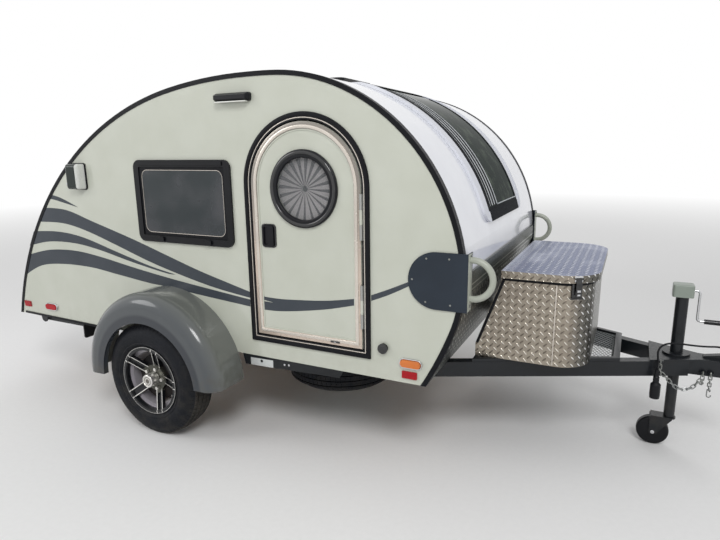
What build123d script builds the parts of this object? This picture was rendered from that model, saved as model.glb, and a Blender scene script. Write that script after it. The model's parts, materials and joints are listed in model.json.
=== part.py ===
from build123d import *
import os
from math import cos, radians, sin, sqrt, tan

# Teardrop trailer. +X forward, +Z up, -Y the kerb side (right), ground at Z = 0.
# All X sizes below are measured from the wheel axle; the origin is at mid-length.
# Sizes are in millimetres and angles in degrees.

os.makedirs("parts", exist_ok=True)

# Body shell
body_width = 1720
body_bottom = 487
roof_height = 1880
roof_flat_x = (620, 662)
wall = 32
skin = 30
trim_proud = 3
trim_width = 22
floor_thick = 40
seam = 0.3
gap = 5
door_gap = 7
hatch_gap = 8
knuckle_gap = 1
hinge_plate = 2
bulkhead_x = -430
bulkhead_thick = 15

# Outline of the body's side: each row is arc radius, turn, starting from the flat of the roof
nose_arcs = ((2140, 3.3), (942, 75.8), (684, 31.7), (1795, 14))
tail_arcs = ((2800, 10), (1880, 68))
run_out = 400

# Wheels and axle
tyre_r = 318
tyre_width = 195
wheel_y = body_width / 2 + 108
rim_r = 192
rim_width = 170
spoke_count = 5
spoke_angle = 1
bead_r = 178
axle_tube = 60
axle_tube_x = 150
axle_tube_z = 385
arm_thick = 22
arm_clear = 22
spindle_r = 20
bearing_gap = 0.5
hub_clear = 12
lug_circle = 57
lug_r = 10
lug_high = 16

# Chassis
rail_width = 51
rail_height = 76
rail_top = 495
rail_y = body_width / 2 - 240
chassis_tail_x = -1290
chassis_nose_x = 1400
cross_x = (-1264, -420, 520, 1374)

# Coupler, the tongue's rails and the jack
coupler_reach = 2855
ball_r = 45
ball_x = coupler_reach - ball_r
coupler_tail_x = coupler_reach - 455
tongue_at_jack = 61.572
tongue_tip_x = coupler_reach - 280
tongue_inset = 36
socket_r = 25.7
socket_depth = 32
coupler_plate = 10
jack_x = coupler_reach - 335
jack_tube_r = 28.5
jack_tube_wall = 3
jack_tube_low = 405
jack_tube_top = 802
jack_leg_r = jack_tube_r - jack_tube_wall - seam
jack_leg_low = 165
jack_leg_top = 570
jack_head_size = (92, 76, 62)
caster_trail = 68
caster_r = 76
caster_width = 46
fork_plate = 5

# Door (the arch springs at door_arch_z)
door_x = 900
door_low = 574
door_arch_z = roof_height - 522
door_half = 335
door_frame = 35
door_flange = 4
leaf_thick = 30
leaf_border = 40
leaf_inset = 3
hinge_r = 7
hinge_length = 206
hinge_shares = (0.1837, 0.7079)
port_z = door_arch_z - 10
port_glass_r = 150
port_ring_r = 180
port_ring_proud = 14
glass = 4
handle_size = (62, 104)
handle_pos = (door_x - 205, door_arch_z - 238)

# Side window
window_x = 160
window_z = roof_height - 616
window_size = (651, 436)
window_frame = 36
window_corner = 42
window_proud = 12
window_hinge = (560, 20, 5)
window_latch = (46, 26, 9)

# Nose window
nose_glass_half = body_width / 2 - 445
nose_glass_low = 1190
nose_glass_high = roof_height - 38
nose_glass_lap = 20
nose_glass_corner = 60
nose_glass_proud = 6
nose_seal_width = 26
nose_seal_foot = 22
nose_seal_proud = 10

# Stone guard and the bar above it
guard_top = 915
guard_thick = 2
bar_height = 96
bar_thick = 10

# Tail
hatch_x = -450
sill_top = 600
lamp_size = (165, 60)
lamp_y = body_width / 2 - 220
lamp_proud = 12

# Fender
fender_x = 15
fender_arch_r = 328
fender_arch_z = 320
fender_r = 472
fender_centre_z = 328
fender_low = (305, 342)
fender_return = 30
fender_y = body_width / 2 + 220
fender_sheet = 4
fender_roll = 75

# Tongue box
box_step_z = 577
box_clear = (66.5, 72.5)
box_low = 512
box_top = 922
box_half = 450
box_nose_x = 2140
box_corner_r = 150
box_sheet = 4
lid_rise = 35
lid_half = 470
lid_pin_r = 6
lid_hinge_half = 390
lid_knuckle_count = 7
latch_turn = 30
latch_z = 884
latch_size = (46, 66, 12)
tray_nose_x = coupler_tail_x - 130
tray_sheet = 3
tray_edge = 30
tongue_bar = 40

# Grab handles and corner plates
grab_z = (891, 1085)
grab_tube_r = 14
grab_stub = 13
plate_lead = 12
plate_length = 263
plate_z = (850, 1100)
plate_thick = 4

# Stabiliser legs
leg_pivot = (-1250, 435)
leg_y = body_width / 2 - 125
leg_length = 415
leg_tube = 38
pad_size = 120
pad_thick = 8

# Spare wheel
spare_x = 780
spare_y = -290
spare_low = 205
spare_disc = (60, 8)
spare_holes = (110, 22, 8)
spare_hanger_r = 16

wall_face = body_width / 2 - trim_proud
wall_inner = wall_face - wall


def outline(inset, low):
    # The body's side outline moved in by inset and cut off level at low
    crown = roof_height - inset
    with BuildSketch() as face:
        with BuildLine():
            roof = Line((roof_flat_x[0], crown), (roof_flat_x[1], crown))
            end, heading = roof @ 1, roof % 1
            for radius, turn in nose_arcs:
                arc = JernArc(end, heading, radius - inset, -turn)
                end, heading = arc @ 1, arc % 1
            nose_foot = Line(end, end + heading * run_out)
            end, heading = roof @ 0, (roof % 0) * -1
            for radius, turn in tail_arcs:
                arc = JernArc(end, heading, radius - inset, turn)
                end, heading = arc @ 1, arc % 1
            tail_foot = Line(end, end + heading * run_out)
            Line(nose_foot @ 1, tail_foot @ 1)
        make_face()
        with Locations((0, low)):
            Rectangle(2 * coupler_reach, roof_height, align=(Align.CENTER, Align.MIN), mode=Mode.INTERSECT)
    return face.sketch


def ends_at(z):
    # X of the outline's tail and nose at height z
    row = outline(0, body_bottom) & (Pos(0, z) * Rectangle(2 * coupler_reach, seam))
    return row.bounding_box().min.X, row.bounding_box().max.X


sill_mid = (body_bottom + sill_top) / 2
tail_x = outline(-lamp_proud, sill_mid - lamp_size[1] / 2).bounding_box().min.X
axle_x = -(coupler_reach + tail_x) / 2
box_step_x = ends_at(box_step_z)[1] + box_clear[0]
box_tail_x = ends_at(box_top)[1] + box_clear[1]
plate_mid_z = (plate_z[0] + plate_z[1]) / 2
plate_nose_x = max(ends_at(z)[1] for z in (plate_z[0], plate_mid_z, plate_z[1])) + plate_lead
plate_x = (plate_nose_x - plate_length, plate_nose_x)

side = Plane(origin=(axle_x, 0, 0), x_dir=(1, 0, 0), z_dir=(0, -1, 0))
ground = Plane(origin=(axle_x, 0, 0))
front = Plane(origin=(axle_x, 0, 0), x_dir=(0, 1, 0), z_dir=(1, 0, 0))


def band(inner, outer, low):
    # The strip between two insets of the outline
    return outline(outer, low) - outline(inner, low)


def surface_z(x, inset=0):
    # Height of the outline's top at x
    column = outline(inset, body_bottom) & (Pos(x, roof_height / 2) * Rectangle(1, 2 * roof_height))
    return column.bounding_box().max.Y


def arch(half, low):
    # Door shape: straight sides and a half-round top
    with BuildSketch() as face:
        with Locations((door_x, low)):
            Rectangle(2 * half, door_arch_z - low, align=(Align.CENTER, Align.MIN))
        with Locations((door_x, door_arch_z)):
            Circle(half)
    return face.sketch


def window(grow):
    with BuildSketch() as face:
        with Locations((window_x, window_z)):
            RectangleRounded(window_size[0] + 2 * grow, window_size[1] + 2 * grow, window_corner + grow)
    return face.sketch


def keep(part, name):
    part.label = name
    export_step(part, f"parts/{name}.step")


def keep_pair(part, name):
    # The piece on the right and its mirror image on the left
    keep(part, f"{name}_right")
    keep(mirror(part, about=Plane.XZ), f"{name}_left")


def keep_both(part, name):
    # Small pieces of both sides share one node
    keep(part + mirror(part, about=Plane.XZ), name)


# Side wall with its door and window openings
frame_depth = door_half - door_frame
jamb = 6
with BuildPart() as side_wall:
    with BuildSketch(side.offset(wall_inner)):
        add(outline(trim_proud, body_bottom))
        add(arch(frame_depth + jamb, door_low + door_frame - jamb), mode=Mode.SUBTRACT)
        add(window(-window_frame + jamb), mode=Mode.SUBTRACT)
    extrude(amount=wall)
keep_pair(side_wall.part, "side_wall")

# Edge trim: a channel over the wall's edge
with BuildPart() as edge_trim:
    with BuildSketch(side.offset(wall_face)):
        add(band(trim_width, 0, body_bottom))
    extrude(amount=trim_proud)
    with BuildSketch(side.offset(wall_inner)):
        add(band(trim_proud, 0, body_bottom))
    extrude(amount=wall)
keep_both(edge_trim.part, "edge_trims")

# Floor
floor_top = rail_top + floor_thick
with BuildPart() as floor:
    with BuildSketch(side):
        add(outline(trim_proud + skin, rail_top))
        with Locations((0, floor_top)):
            Rectangle(2 * coupler_reach, roof_height, align=(Align.CENTER, Align.MIN), mode=Mode.SUBTRACT)
    extrude(amount=wall_inner, both=True)
keep(floor.part, "floor")

# Roof and nose skin with the opening for the nose window
with BuildPart() as roof_shell:
    with BuildSketch(side):
        add(band(trim_proud + skin, trim_proud, rail_top + seam))
        with Locations((hatch_x, 0)):
            Rectangle(coupler_reach, 2 * roof_height, align=(Align.MAX, Align.CENTER), mode=Mode.SUBTRACT)
    extrude(amount=wall_inner, both=True)
    with BuildSketch(front.offset(roof_flat_x[1])):
        with Locations((0, (nose_glass_low + nose_glass_high) / 2)):
            RectangleRounded(2 * nose_glass_half, nose_glass_high - nose_glass_low, nose_glass_corner)
    extrude(amount=coupler_reach, mode=Mode.SUBTRACT)
keep(roof_shell.part, "roof_shell")

# Nose window pane, lapped over the skin
with BuildPart() as nose_window:
    with BuildSketch(side):
        add(band(trim_proud - seam, -nose_glass_proud, body_bottom))
    extrude(amount=wall_inner, both=True)
    lap = 2 * nose_glass_lap
    with BuildSketch(front.offset(roof_flat_x[1])):
        with Locations((0, (nose_glass_low + nose_glass_high) / 2)):
            RectangleRounded(2 * nose_glass_half + lap, nose_glass_high - nose_glass_low + lap,
                             nose_glass_corner + nose_glass_lap)
    extrude(amount=coupler_reach, mode=Mode.INTERSECT)
keep(nose_window.part, "nose_window")

# Rubber seal round the pane, deeper along its foot
with BuildPart() as nose_seal:
    with BuildSketch(side):
        add(band(-nose_glass_proud, -nose_seal_proud, body_bottom))
    extrude(amount=wall_inner, both=True)
    seal_reach = 2 * (nose_glass_lap - seam)
    with BuildSketch(front.offset(roof_flat_x[1])):
        with Locations((0, (nose_glass_low + nose_glass_high) / 2)):
            RectangleRounded(2 * nose_glass_half + seal_reach,
                             nose_glass_high - nose_glass_low + seal_reach,
                             nose_glass_corner + nose_glass_lap)
        with Locations((0, (nose_glass_low + nose_seal_foot + nose_glass_high) / 2)):
            RectangleRounded(2 * nose_glass_half + seal_reach - 2 * nose_seal_width,
                             nose_glass_high - nose_glass_low - nose_seal_foot
                             + seal_reach - 2 * nose_seal_width,
                             nose_glass_corner, mode=Mode.SUBTRACT)
    extrude(amount=coupler_reach, mode=Mode.INTERSECT)
keep(nose_seal.part, "nose_seal")

# Stone guard on the nose and the bar that caps it
guard_half = wall_inner - 1
with BuildPart() as stone_guard:
    with BuildSketch(side):
        add(band(trim_proud - seam, trim_proud - guard_thick, rail_top + seam))
        with Locations((door_x + door_half, body_bottom)):
            Rectangle(coupler_reach, guard_top - body_bottom, align=Align.MIN, mode=Mode.INTERSECT)
    extrude(amount=guard_half, both=True)
keep(stone_guard.part, "stone_guard")

with BuildPart() as nose_bar:
    with BuildSketch(side):
        add(band(trim_proud - seam, trim_proud - bar_thick, body_bottom))
        with Locations((door_x + door_half, guard_top)):
            Rectangle(coupler_reach, bar_height, align=(Align.MIN, Align.MIN), mode=Mode.INTERSECT)
    extrude(amount=guard_half, both=True)
keep(nose_bar.part, "nose_bar")

# Rear sill under the hatch, and its tail lamps
with BuildPart() as rear_sill:
    with BuildSketch(side):
        add(band(trim_proud + skin, trim_proud, rail_top + seam))
        with Locations((0, body_bottom)):
            Rectangle(coupler_reach, sill_top - body_bottom, align=(Align.MAX, Align.MIN),
                      mode=Mode.INTERSECT)
    extrude(amount=wall_inner, both=True)
keep(rear_sill.part, "rear_sill")

# Rear hatch, hung from the roof
hatch_half = wall_inner - gap
hatch_pin_x = hatch_x - gap / 2
hatch_pin_z = surface_z(hatch_x, trim_proud) + hinge_r
knuckle_inset = 60
knuckles = 9
knuckle = 2 * (hatch_half - knuckle_inset) / knuckles
hatch_leaf = 42
hatch_handle_z = 700
hatch_handle_size = (150, 40)
hatch_handle_proud = 16


def hatch_knuckles(first, low_x, high_x, base):
    # Every second knuckle of the hatch's hinge, with its leaf on the skin
    with BuildPart() as row:
        for step in range(first, knuckles, 2):
            low_y = -hatch_half + knuckle_inset + step * knuckle
            place = side.offset(-low_y - knuckle + knuckle_gap)
            with BuildSketch(place):
                with Locations((hatch_pin_x, hatch_pin_z)):
                    Circle(hinge_r)
            extrude(amount=knuckle - knuckle_gap)
            with BuildSketch(place):
                add(band(base, trim_proud - hinge_plate, sill_top))
                with Locations((low_x, sill_top)):
                    Rectangle(high_x - low_x, roof_height, align=(Align.MIN, Align.MIN), mode=Mode.INTERSECT)
            extrude(amount=knuckle - knuckle_gap)
    return row.part


with BuildPart() as hatch_handle:
    with BuildSketch(front.offset(-coupler_reach)):
        with Locations((0, hatch_handle_z)):
            SlotOverall(*hatch_handle_size)
    extrude(amount=coupler_reach)
    with BuildSketch(side):
        add(band(trim_proud + 1, -hatch_handle_proud, body_bottom))
    extrude(amount=hatch_half, both=True, mode=Mode.INTERSECT)

with BuildPart() as hatch:
    with BuildSketch(side):
        add(band(trim_proud + skin, trim_proud, rail_top + seam))
        with Locations((hatch_x - gap, sill_top + hatch_gap)):
            Rectangle(coupler_reach, roof_height, align=(Align.MAX, Align.MIN), mode=Mode.INTERSECT)
    extrude(amount=hatch_half, both=True)
    add(hatch_knuckles(1, hatch_pin_x - hatch_leaf, hatch_pin_x, trim_proud + 1))
    add(hatch_handle.part)
keep(hatch.part, "hatch")

# Bulkhead between the cabin and the galley
with BuildPart() as bulkhead:
    with BuildSketch(side):
        add(outline(trim_proud + skin, floor_top))
        with Locations((bulkhead_x, floor_top)):
            Rectangle(bulkhead_thick, roof_height, align=(Align.MAX, Align.MIN), mode=Mode.INTERSECT)
    extrude(amount=wall_inner, both=True)
keep(bulkhead.part, "bulkhead")

# Galley cabinet with open bays towards the hatch
galley_depth = 560
galley_top = 960
galley_board = 18
bay_count = 3
with BuildPart() as galley:
    with BuildSketch(side):
        add(outline(trim_proud + skin + gap, floor_top))
        with Locations((bulkhead_x - bulkhead_thick, floor_top)):
            Rectangle(galley_depth, galley_top - floor_top, align=(Align.MAX, Align.MIN),
                      mode=Mode.INTERSECT)
    extrude(amount=wall_inner, both=True)
    bay_width = (2 * wall_inner - galley_board * (bay_count + 1)) / bay_count
    bay_height = galley_top - floor_top - 2 * galley_board
    with BuildSketch(front.offset(bulkhead_x - bulkhead_thick - galley_board)):
        with Locations((0, (galley_top + floor_top) / 2)):
            with GridLocations(bay_width + galley_board, 0, bay_count, 1):
                Rectangle(bay_width, bay_height)
    extrude(amount=-galley_depth, mode=Mode.SUBTRACT)
keep(galley.part, "galley_cabinet")

# Mattress on the cabin floor
mattress_thick = 130
soft_gap = 6
with BuildPart() as mattress:
    with BuildSketch(side):
        add(outline(trim_proud + skin + soft_gap, floor_top + seam))
        with Locations((bulkhead_x + soft_gap, floor_top + seam)):
            Rectangle(coupler_reach, mattress_thick, align=(Align.MIN, Align.MIN), mode=Mode.INTERSECT)
    extrude(amount=wall_inner - soft_gap, both=True)
keep(mattress.part, "mattress")

# Fixed door frame: flange outside, jamb through the wall
with BuildPart() as door_surround:
    with BuildSketch(side.offset(wall_face)):
        add(arch(door_half, door_low))
        add(arch(frame_depth, door_low + door_frame), mode=Mode.SUBTRACT)
    extrude(amount=door_flange)
    with BuildSketch(side.offset(wall_inner)):
        add(arch(frame_depth + jamb, door_low + door_frame - jamb))
        add(arch(frame_depth, door_low + door_frame), mode=Mode.SUBTRACT)
    extrude(amount=wall)
keep_both(door_surround.part, "door_frames")

# Door hinges: a leaf on the frame with two knuckles, a middle knuckle on the door
leaf_half = frame_depth - door_gap
leaf_low = door_low + door_frame + door_gap
leaf_face = wall_face + door_flange
hinge_x = door_x + frame_depth - door_gap / 2
hinge_y = leaf_face + hinge_r
hinge_leaf = 22
third = hinge_length / 3
hinge_lows = [door_low + share * (door_arch_z - door_low) for share in hinge_shares]
with BuildPart() as door_hinges:
    for low in hinge_lows:
        with Locations(*[(axle_x + hinge_x, -hinge_y, low + step * third) for step in (0, 2)]):
            Cylinder(hinge_r, third - knuckle_gap, align=(Align.CENTER, Align.CENTER, Align.MIN))
        with BuildSketch(side.offset(leaf_face)):
            with Locations((hinge_x + hinge_r, low)):
                Rectangle(hinge_leaf, hinge_length - knuckle_gap, align=(Align.MIN, Align.MIN))
        extrude(amount=hinge_plate)
        with BuildSketch(side.offset(leaf_face)):
            with Locations(*[(hinge_x, low + step * third) for step in (0, 2)]):
                Rectangle(2 * hinge_r, third - knuckle_gap, align=(Align.MIN, Align.MIN))
        extrude(amount=hinge_plate)
keep(door_hinges.part + mirror(door_hinges.part, about=Plane.XZ)
     + hatch_knuckles(0, hatch_pin_x, hatch_pin_x + hatch_leaf, trim_proud - seam), "hinges")

# Door leaf with its raised border, porthole opening and middle knuckles
with BuildPart() as door:
    with BuildSketch(side.offset(leaf_face - leaf_thick)):
        add(arch(leaf_half, leaf_low))
        with Locations((door_x, port_z)):
            Circle(port_glass_r, mode=Mode.SUBTRACT)
    extrude(amount=leaf_thick)
    with BuildSketch(side.offset(leaf_face - leaf_inset)):
        add(arch(leaf_half - leaf_border, leaf_low + leaf_border))
    extrude(amount=leaf_inset, mode=Mode.SUBTRACT)
    for low in hinge_lows:
        with Locations((axle_x + hinge_x, -hinge_y, low + third)):
            Cylinder(hinge_r, third - knuckle_gap, align=(Align.CENTER, Align.CENTER, Align.MIN))
        with BuildSketch(side.offset(leaf_face)):
            with Locations((hinge_x, low + third)):
                Rectangle(leaf_border / 2, third - knuckle_gap, align=(Align.MAX, Align.MIN))
        extrude(amount=hinge_plate)
keep_pair(door.part, "door")

# Porthole pane, and on the door's skin its ring and the recessed paddle handle
skin_face = leaf_face - leaf_inset
ring_lip = 8
handle_thick = 10
handle_floor = 3
with BuildPart() as port_pane:
    with BuildSketch(side.offset(skin_face - glass)):
        with Locations((door_x, port_z)):
            Circle(port_glass_r)
    extrude(amount=glass)
keep_pair(port_pane.part, "porthole_pane")

with BuildPart() as fittings:
    with BuildSketch(side.offset(skin_face)):
        with Locations((door_x, port_z)):
            Circle(port_ring_r)
            Circle(port_glass_r - ring_lip, mode=Mode.SUBTRACT)
    extrude(amount=port_ring_proud)
    fillet(fittings.edges().filter_by(GeomType.CIRCLE).sort_by(Axis.Y)[:2], port_ring_proud / 2 - 1)
    with BuildSketch(side.offset(skin_face)):
        with Locations(handle_pos):
            RectangleRounded(*handle_size, 12)
    extrude(amount=handle_thick)
    with BuildSketch(side.offset(skin_face + handle_thick)):
        with Locations((handle_pos[0] - 12, handle_pos[1])):
            RectangleRounded(handle_size[0] - 36, handle_size[1] - 16, 8)
    extrude(amount=handle_floor - handle_thick, mode=Mode.SUBTRACT)
keep_pair(fittings.part, "door_fittings")

# Side window: frame through the wall, and its pane
with BuildPart() as window_frame_part:
    with BuildSketch(side.offset(wall_face)):
        add(window(0))
        add(window(-window_frame), mode=Mode.SUBTRACT)
    extrude(amount=window_proud)
    with BuildSketch(side.offset(wall_inner)):
        add(window(-window_frame + jamb))
        add(window(-window_frame), mode=Mode.SUBTRACT)
    extrude(amount=wall)
    window_edge = window_size[1] / 2 - window_frame / 2
    with BuildSketch(side.offset(wall_face + window_proud)):
        with Locations((window_x, window_z + window_edge)):
            Rectangle(window_hinge[0], window_hinge[1])
    extrude(amount=window_hinge[2])
    with BuildSketch(side.offset(wall_face + window_proud)):
        with Locations((window_x, window_z - window_edge)):
            with GridLocations(window_size[0] / 2, 0, 2, 1):
                RectangleRounded(window_latch[0], window_latch[1], window_latch[1] / 3)
    extrude(amount=window_latch[2])
keep_both(window_frame_part.part, "window_frames")

with BuildPart() as window_pane:
    with BuildSketch(side.offset(wall_face)):
        add(window(-window_frame))
    extrude(amount=glass)
keep_both(window_pane.part, "window_panes")

# Fender: rolled sheet with an open back and a wheel arch turned inward at its edge
def fender_disc(z, outer, inner=0):
    # Disc or ring cut off by the fender's lower edge, which rises toward the nose
    reach = fender_r + gap
    with BuildSketch() as face:
        with Locations((fender_x, z)):
            Circle(outer)
            if inner:
                Circle(inner, mode=Mode.SUBTRACT)
        with BuildLine():
            Polyline((fender_x - reach, fender_low[0]), (fender_x + reach, fender_low[1]),
                     (fender_x + reach, fender_low[1] + 2 * reach),
                     (fender_x - reach, fender_low[0] + 2 * reach), close=True)
        make_face(mode=Mode.INTERSECT)
    return face.sketch


with BuildPart() as fender:
    with BuildSketch(side.offset(wall_face)):
        add(fender_disc(fender_centre_z, fender_r))
    extrude(amount=fender_y - wall_face)
    rim_edge = fender.edges().filter_by(GeomType.CIRCLE).sort_by(Axis.Y)[0]
    fillet(rim_edge, fender_roll)
    openings = fender.faces().sort_by(Axis.Y)[-1:] + fender.faces().sort_by(Axis.Z)[:1]
    offset(amount=-fender_sheet, openings=openings)
    with BuildSketch(side.offset(fender_y)):
        with Locations((fender_x, fender_arch_z)):
            Circle(fender_arch_r)
    extrude(amount=-2 * fender_sheet, mode=Mode.SUBTRACT)
    with BuildSketch(side.offset(fender_y)):
        add(fender_disc(fender_arch_z, fender_arch_r + fender_sheet, fender_arch_r))
    extrude(amount=-fender_return)
keep_pair(fender.part, "fender")

# Corner plate on the side, turned round the nose corner
flange_width = 70
with BuildPart() as corner_plate:
    plate_r = (plate_z[1] - plate_z[0]) / 2
    with BuildSketch(side.offset(body_width / 2)):
        with Locations((plate_x[0] + plate_r, plate_mid_z)):
            Circle(plate_r)
            Rectangle(plate_x[1] - plate_x[0] - plate_r, 2 * plate_r, align=(Align.MIN, Align.CENTER))
    extrude(amount=plate_thick)
    with BuildSketch(front.offset(plate_x[1])):
        with Locations((-body_width / 2 - plate_thick, plate_mid_z)):
            Rectangle(flange_width, 2 * plate_r, align=(Align.MIN, Align.CENTER))
    extrude(amount=-plate_thick)
keep_both(corner_plate.part, "corner_plates")

# D-shaped grab handle on the plate's front flange
grab_y = -body_width / 2 + flange_width / 2 - plate_thick
grab_mid_z = (grab_z[0] + grab_z[1]) / 2
grab_r = (grab_z[1] - grab_z[0]) / 2 - grab_tube_r
with BuildPart() as grab_handle:
    with BuildLine(side.offset(-grab_y)) as grab_path:
        top = Line((plate_x[1], grab_mid_z + grab_r), (plate_x[1] + grab_stub, grab_mid_z + grab_r))
        bend = JernArc(top @ 1, top % 1, grab_r, -180)
        Line(bend @ 1, (plate_x[1], grab_mid_z - grab_r))
    with BuildSketch(Plane(origin=grab_path.line @ 0, z_dir=grab_path.line % 0)):
        Circle(grab_tube_r)
    sweep()
keep_both(grab_handle.part, "grab_handles")

# Wheels: tyre, dished alloy rim with pocketed spokes, and the brake drum behind it
wheel_mid = (axle_x, -wheel_y, tyre_r)
wheel_face = Plane(origin=wheel_mid, x_dir=(1, 0, 0), z_dir=(0, -1, 0))
wheel_cut = Plane(origin=wheel_mid, x_dir=(1, 0, 0), z_dir=(0, 0, -1))
wheel_axis = Axis(wheel_mid, (0, -1, 0))
rim_half = rim_width / 2
lip = 6
tread_half = tyre_width / 2 - 35.5
tread_crown = 7
shoulder = (tyre_r - 32, tyre_width / 2 - 17.5)
sidewall_r = tyre_r - 78


def tyre_section():
    with BuildSketch() as face:
        with BuildLine():
            for sign in (1, -1):
                bead = (bead_r + seam, sign * (rim_half - lip - seam))
                flange = (rim_r + seam, sign * (rim_half - lip - seam))
                corner = (shoulder[0], sign * shoulder[1])
                Line(bead, flange)
                ThreePointArc(flange, (sidewall_r, sign * tyre_width / 2), corner)
                Line(corner, (tyre_r - tread_crown, sign * tread_half))
            tread_edge = tyre_r - tread_crown
            ThreePointArc((tread_edge, tread_half), (tyre_r, 0), (tread_edge, -tread_half))
            Line((bead_r + seam, rim_half - lip - seam), (bead_r + seam, -rim_half + lip + seam))
        make_face()
    return face.sketch


groove_width = 6
groove_depth = 9
groove_count = 4
with BuildPart() as tyre:
    with BuildSketch(wheel_cut):
        add(tyre_section())
        with Locations((tyre_r, 0)):
            with GridLocations(0, 2 * tread_half / groove_count, 1, groove_count):
                Rectangle(2 * groove_depth, groove_width, mode=Mode.SUBTRACT)
    revolve(axis=wheel_axis)
keep_pair(tyre.part, "tyre")

barrel_wall = 7
well_r = 160
bead_seat = 38
face_thick = 22
hub_flat_r = 70
hub_face = rim_half - 45
dish_edge = (bead_r - barrel_wall / 2, rim_half - 4)
spoke_width = 44
rib_width = 7
pocket_depth = 9
pocket_reach = (84, 168)
window_reach = (73, 169)
cap_r = 36
cap_high = 57
cap_round = 4
cap_ring = (8, 2)


def dish(top, bottom):
    # Half section of the dished wheel face between two depths below its front
    with BuildSketch() as face:
        with BuildLine():
            Polyline((0, hub_face - top), (hub_flat_r, hub_face - top), (dish_edge[0], dish_edge[1] - top),
                     (dish_edge[0], dish_edge[1] - bottom), (hub_flat_r, hub_face - bottom),
                     (0, hub_face - bottom), close=True)
        make_face()
    return face.sketch


with BuildPart() as spoke_pocket:
    with BuildSketch(wheel_cut):
        add(dish(-seam, pocket_depth))
    revolve(axis=wheel_axis)
    with BuildSketch(wheel_face.offset(-rim_half)):
        with PolarLocations(0, 1, start_angle=spoke_angle):
            with Locations((rim_r, 0)):
                SlotOverall(2 * (rim_r - pocket_reach[0]), spoke_width - 2 * rib_width)
        Circle(pocket_reach[1], mode=Mode.INTERSECT)
    extrude(amount=rim_width, mode=Mode.INTERSECT)

with BuildPart() as rim:
    with BuildSketch(wheel_cut):
        add(dish(0, face_thick))
    revolve(axis=wheel_axis)
    with BuildSketch(wheel_face.offset(-rim_half)):
        Circle(window_reach[1])
        Circle(window_reach[0], mode=Mode.SUBTRACT)
        with PolarLocations(0, spoke_count, start_angle=spoke_angle):
            Rectangle(rim_r, spoke_width, align=(Align.MIN, Align.CENTER), mode=Mode.SUBTRACT)
    extrude(amount=rim_width, mode=Mode.SUBTRACT)
    for index in range(spoke_count):
        add(spoke_pocket.part.rotate(wheel_axis, index * 360 / spoke_count), mode=Mode.SUBTRACT)
    with BuildSketch(wheel_cut):
        for sign, out in ((1, Align.MAX), (-1, Align.MIN)):
            with Locations((rim_r, sign * rim_half)):
                Rectangle(rim_r - bead_r + barrel_wall, lip, align=(Align.MAX, out))
            with Locations((bead_r, sign * rim_half)):
                Rectangle(barrel_wall, bead_seat, align=(Align.MAX, out))
            with Locations((bead_r, sign * (rim_half - bead_seat))):
                Rectangle(bead_r - well_r, barrel_wall, align=(Align.MAX, out))
        with Locations((well_r, 0)):
            Rectangle(barrel_wall, 2 * (rim_half - bead_seat), align=(Align.MAX, Align.CENTER))
    revolve(axis=wheel_axis)
    with BuildSketch(wheel_face.offset(hub_face)):
        Circle(cap_r)
    extrude(amount=cap_high)
    fillet(rim.edges().filter_by(GeomType.CIRCLE).sort_by(Axis.Y)[0], cap_round)
    with BuildSketch(wheel_face.offset(hub_face + cap_high)):
        Circle(cap_r - cap_ring[0])
    extrude(amount=-cap_ring[1], mode=Mode.SUBTRACT)
    with BuildSketch(wheel_face.offset(hub_face)):
        with PolarLocations(lug_circle, spoke_count, start_angle=spoke_angle):
            RegularPolygon(lug_r, 6)
    extrude(amount=lug_high)
keep_pair(rim.part, "rim")

# Brake drum and hub, carried by the spindle
drum_r = 127
drum_depth = 58
hub_seat = hub_face - face_thick
with BuildPart() as drum:
    with BuildSketch(wheel_face.offset(hub_seat)):
        Circle(drum_r)
    extrude(amount=-drum_depth)
    with BuildSketch(wheel_face.offset(hub_seat - drum_depth)):
        Circle(spindle_r + bearing_gap)
    extrude(amount=drum_depth - hub_clear, mode=Mode.SUBTRACT)
keep_pair(drum.part, "brake_drum")

# Torsion axle: square tube across, with an arm, spindle and backing plate at each end
arm_face = wheel_y - tyre_width / 2 - arm_clear
spindle_end = wheel_y + hub_seat - hub_clear - gap
backing_face = wheel_y + hub_seat - drum_depth - gap
backing_thick = 4
arm_big_r = 44
arm_small_r = 30
seat_length = 150
with BuildPart() as axle:
    with BuildSketch(side):
        with Locations((axle_tube_x, axle_tube_z)):
            RectangleRounded(axle_tube, axle_tube, 8)
    extrude(amount=arm_face - arm_thick, both=True)
    with BuildSketch(side.offset(rail_y - rail_width / 2)):
        with Locations((axle_tube_x, axle_tube_z)):
            Rectangle(seat_length, rail_top - rail_height - axle_tube_z, align=(Align.CENTER, Align.MIN))
    extrude(amount=rail_width)
    with BuildSketch(side.offset(arm_face - arm_thick)):
        with Locations((axle_tube_x, axle_tube_z)):
            Circle(arm_big_r)
        with Locations((0, tyre_r)):
            Circle(arm_small_r)
        make_hull()
    extrude(amount=arm_thick)
    with BuildSketch(side.offset(arm_face)):
        with Locations((0, tyre_r)):
            Circle(spindle_r)
    extrude(amount=spindle_end - arm_face)
    with BuildSketch(side.offset(backing_face - backing_thick)):
        with Locations((0, tyre_r)):
            Circle(drum_r)
    extrude(amount=backing_thick)
    mirror(about=Plane.XZ)
keep(axle.part, "axle")

# Chassis rails, cross members and the two rails of the tongue
slope = (rail_y - tongue_inset - tongue_at_jack) / (jack_x - chassis_nose_x)
tongue_apex_x = jack_x + tongue_at_jack / slope
tongue_cut = rail_width / 2 * sqrt(1 + slope ** 2)
bracket_width = 70
bracket_plate = 5
outrigger = 20
pivot_r = 6


def tongue_y(x, shift):
    return (tongue_apex_x - x) * slope + shift


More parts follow.
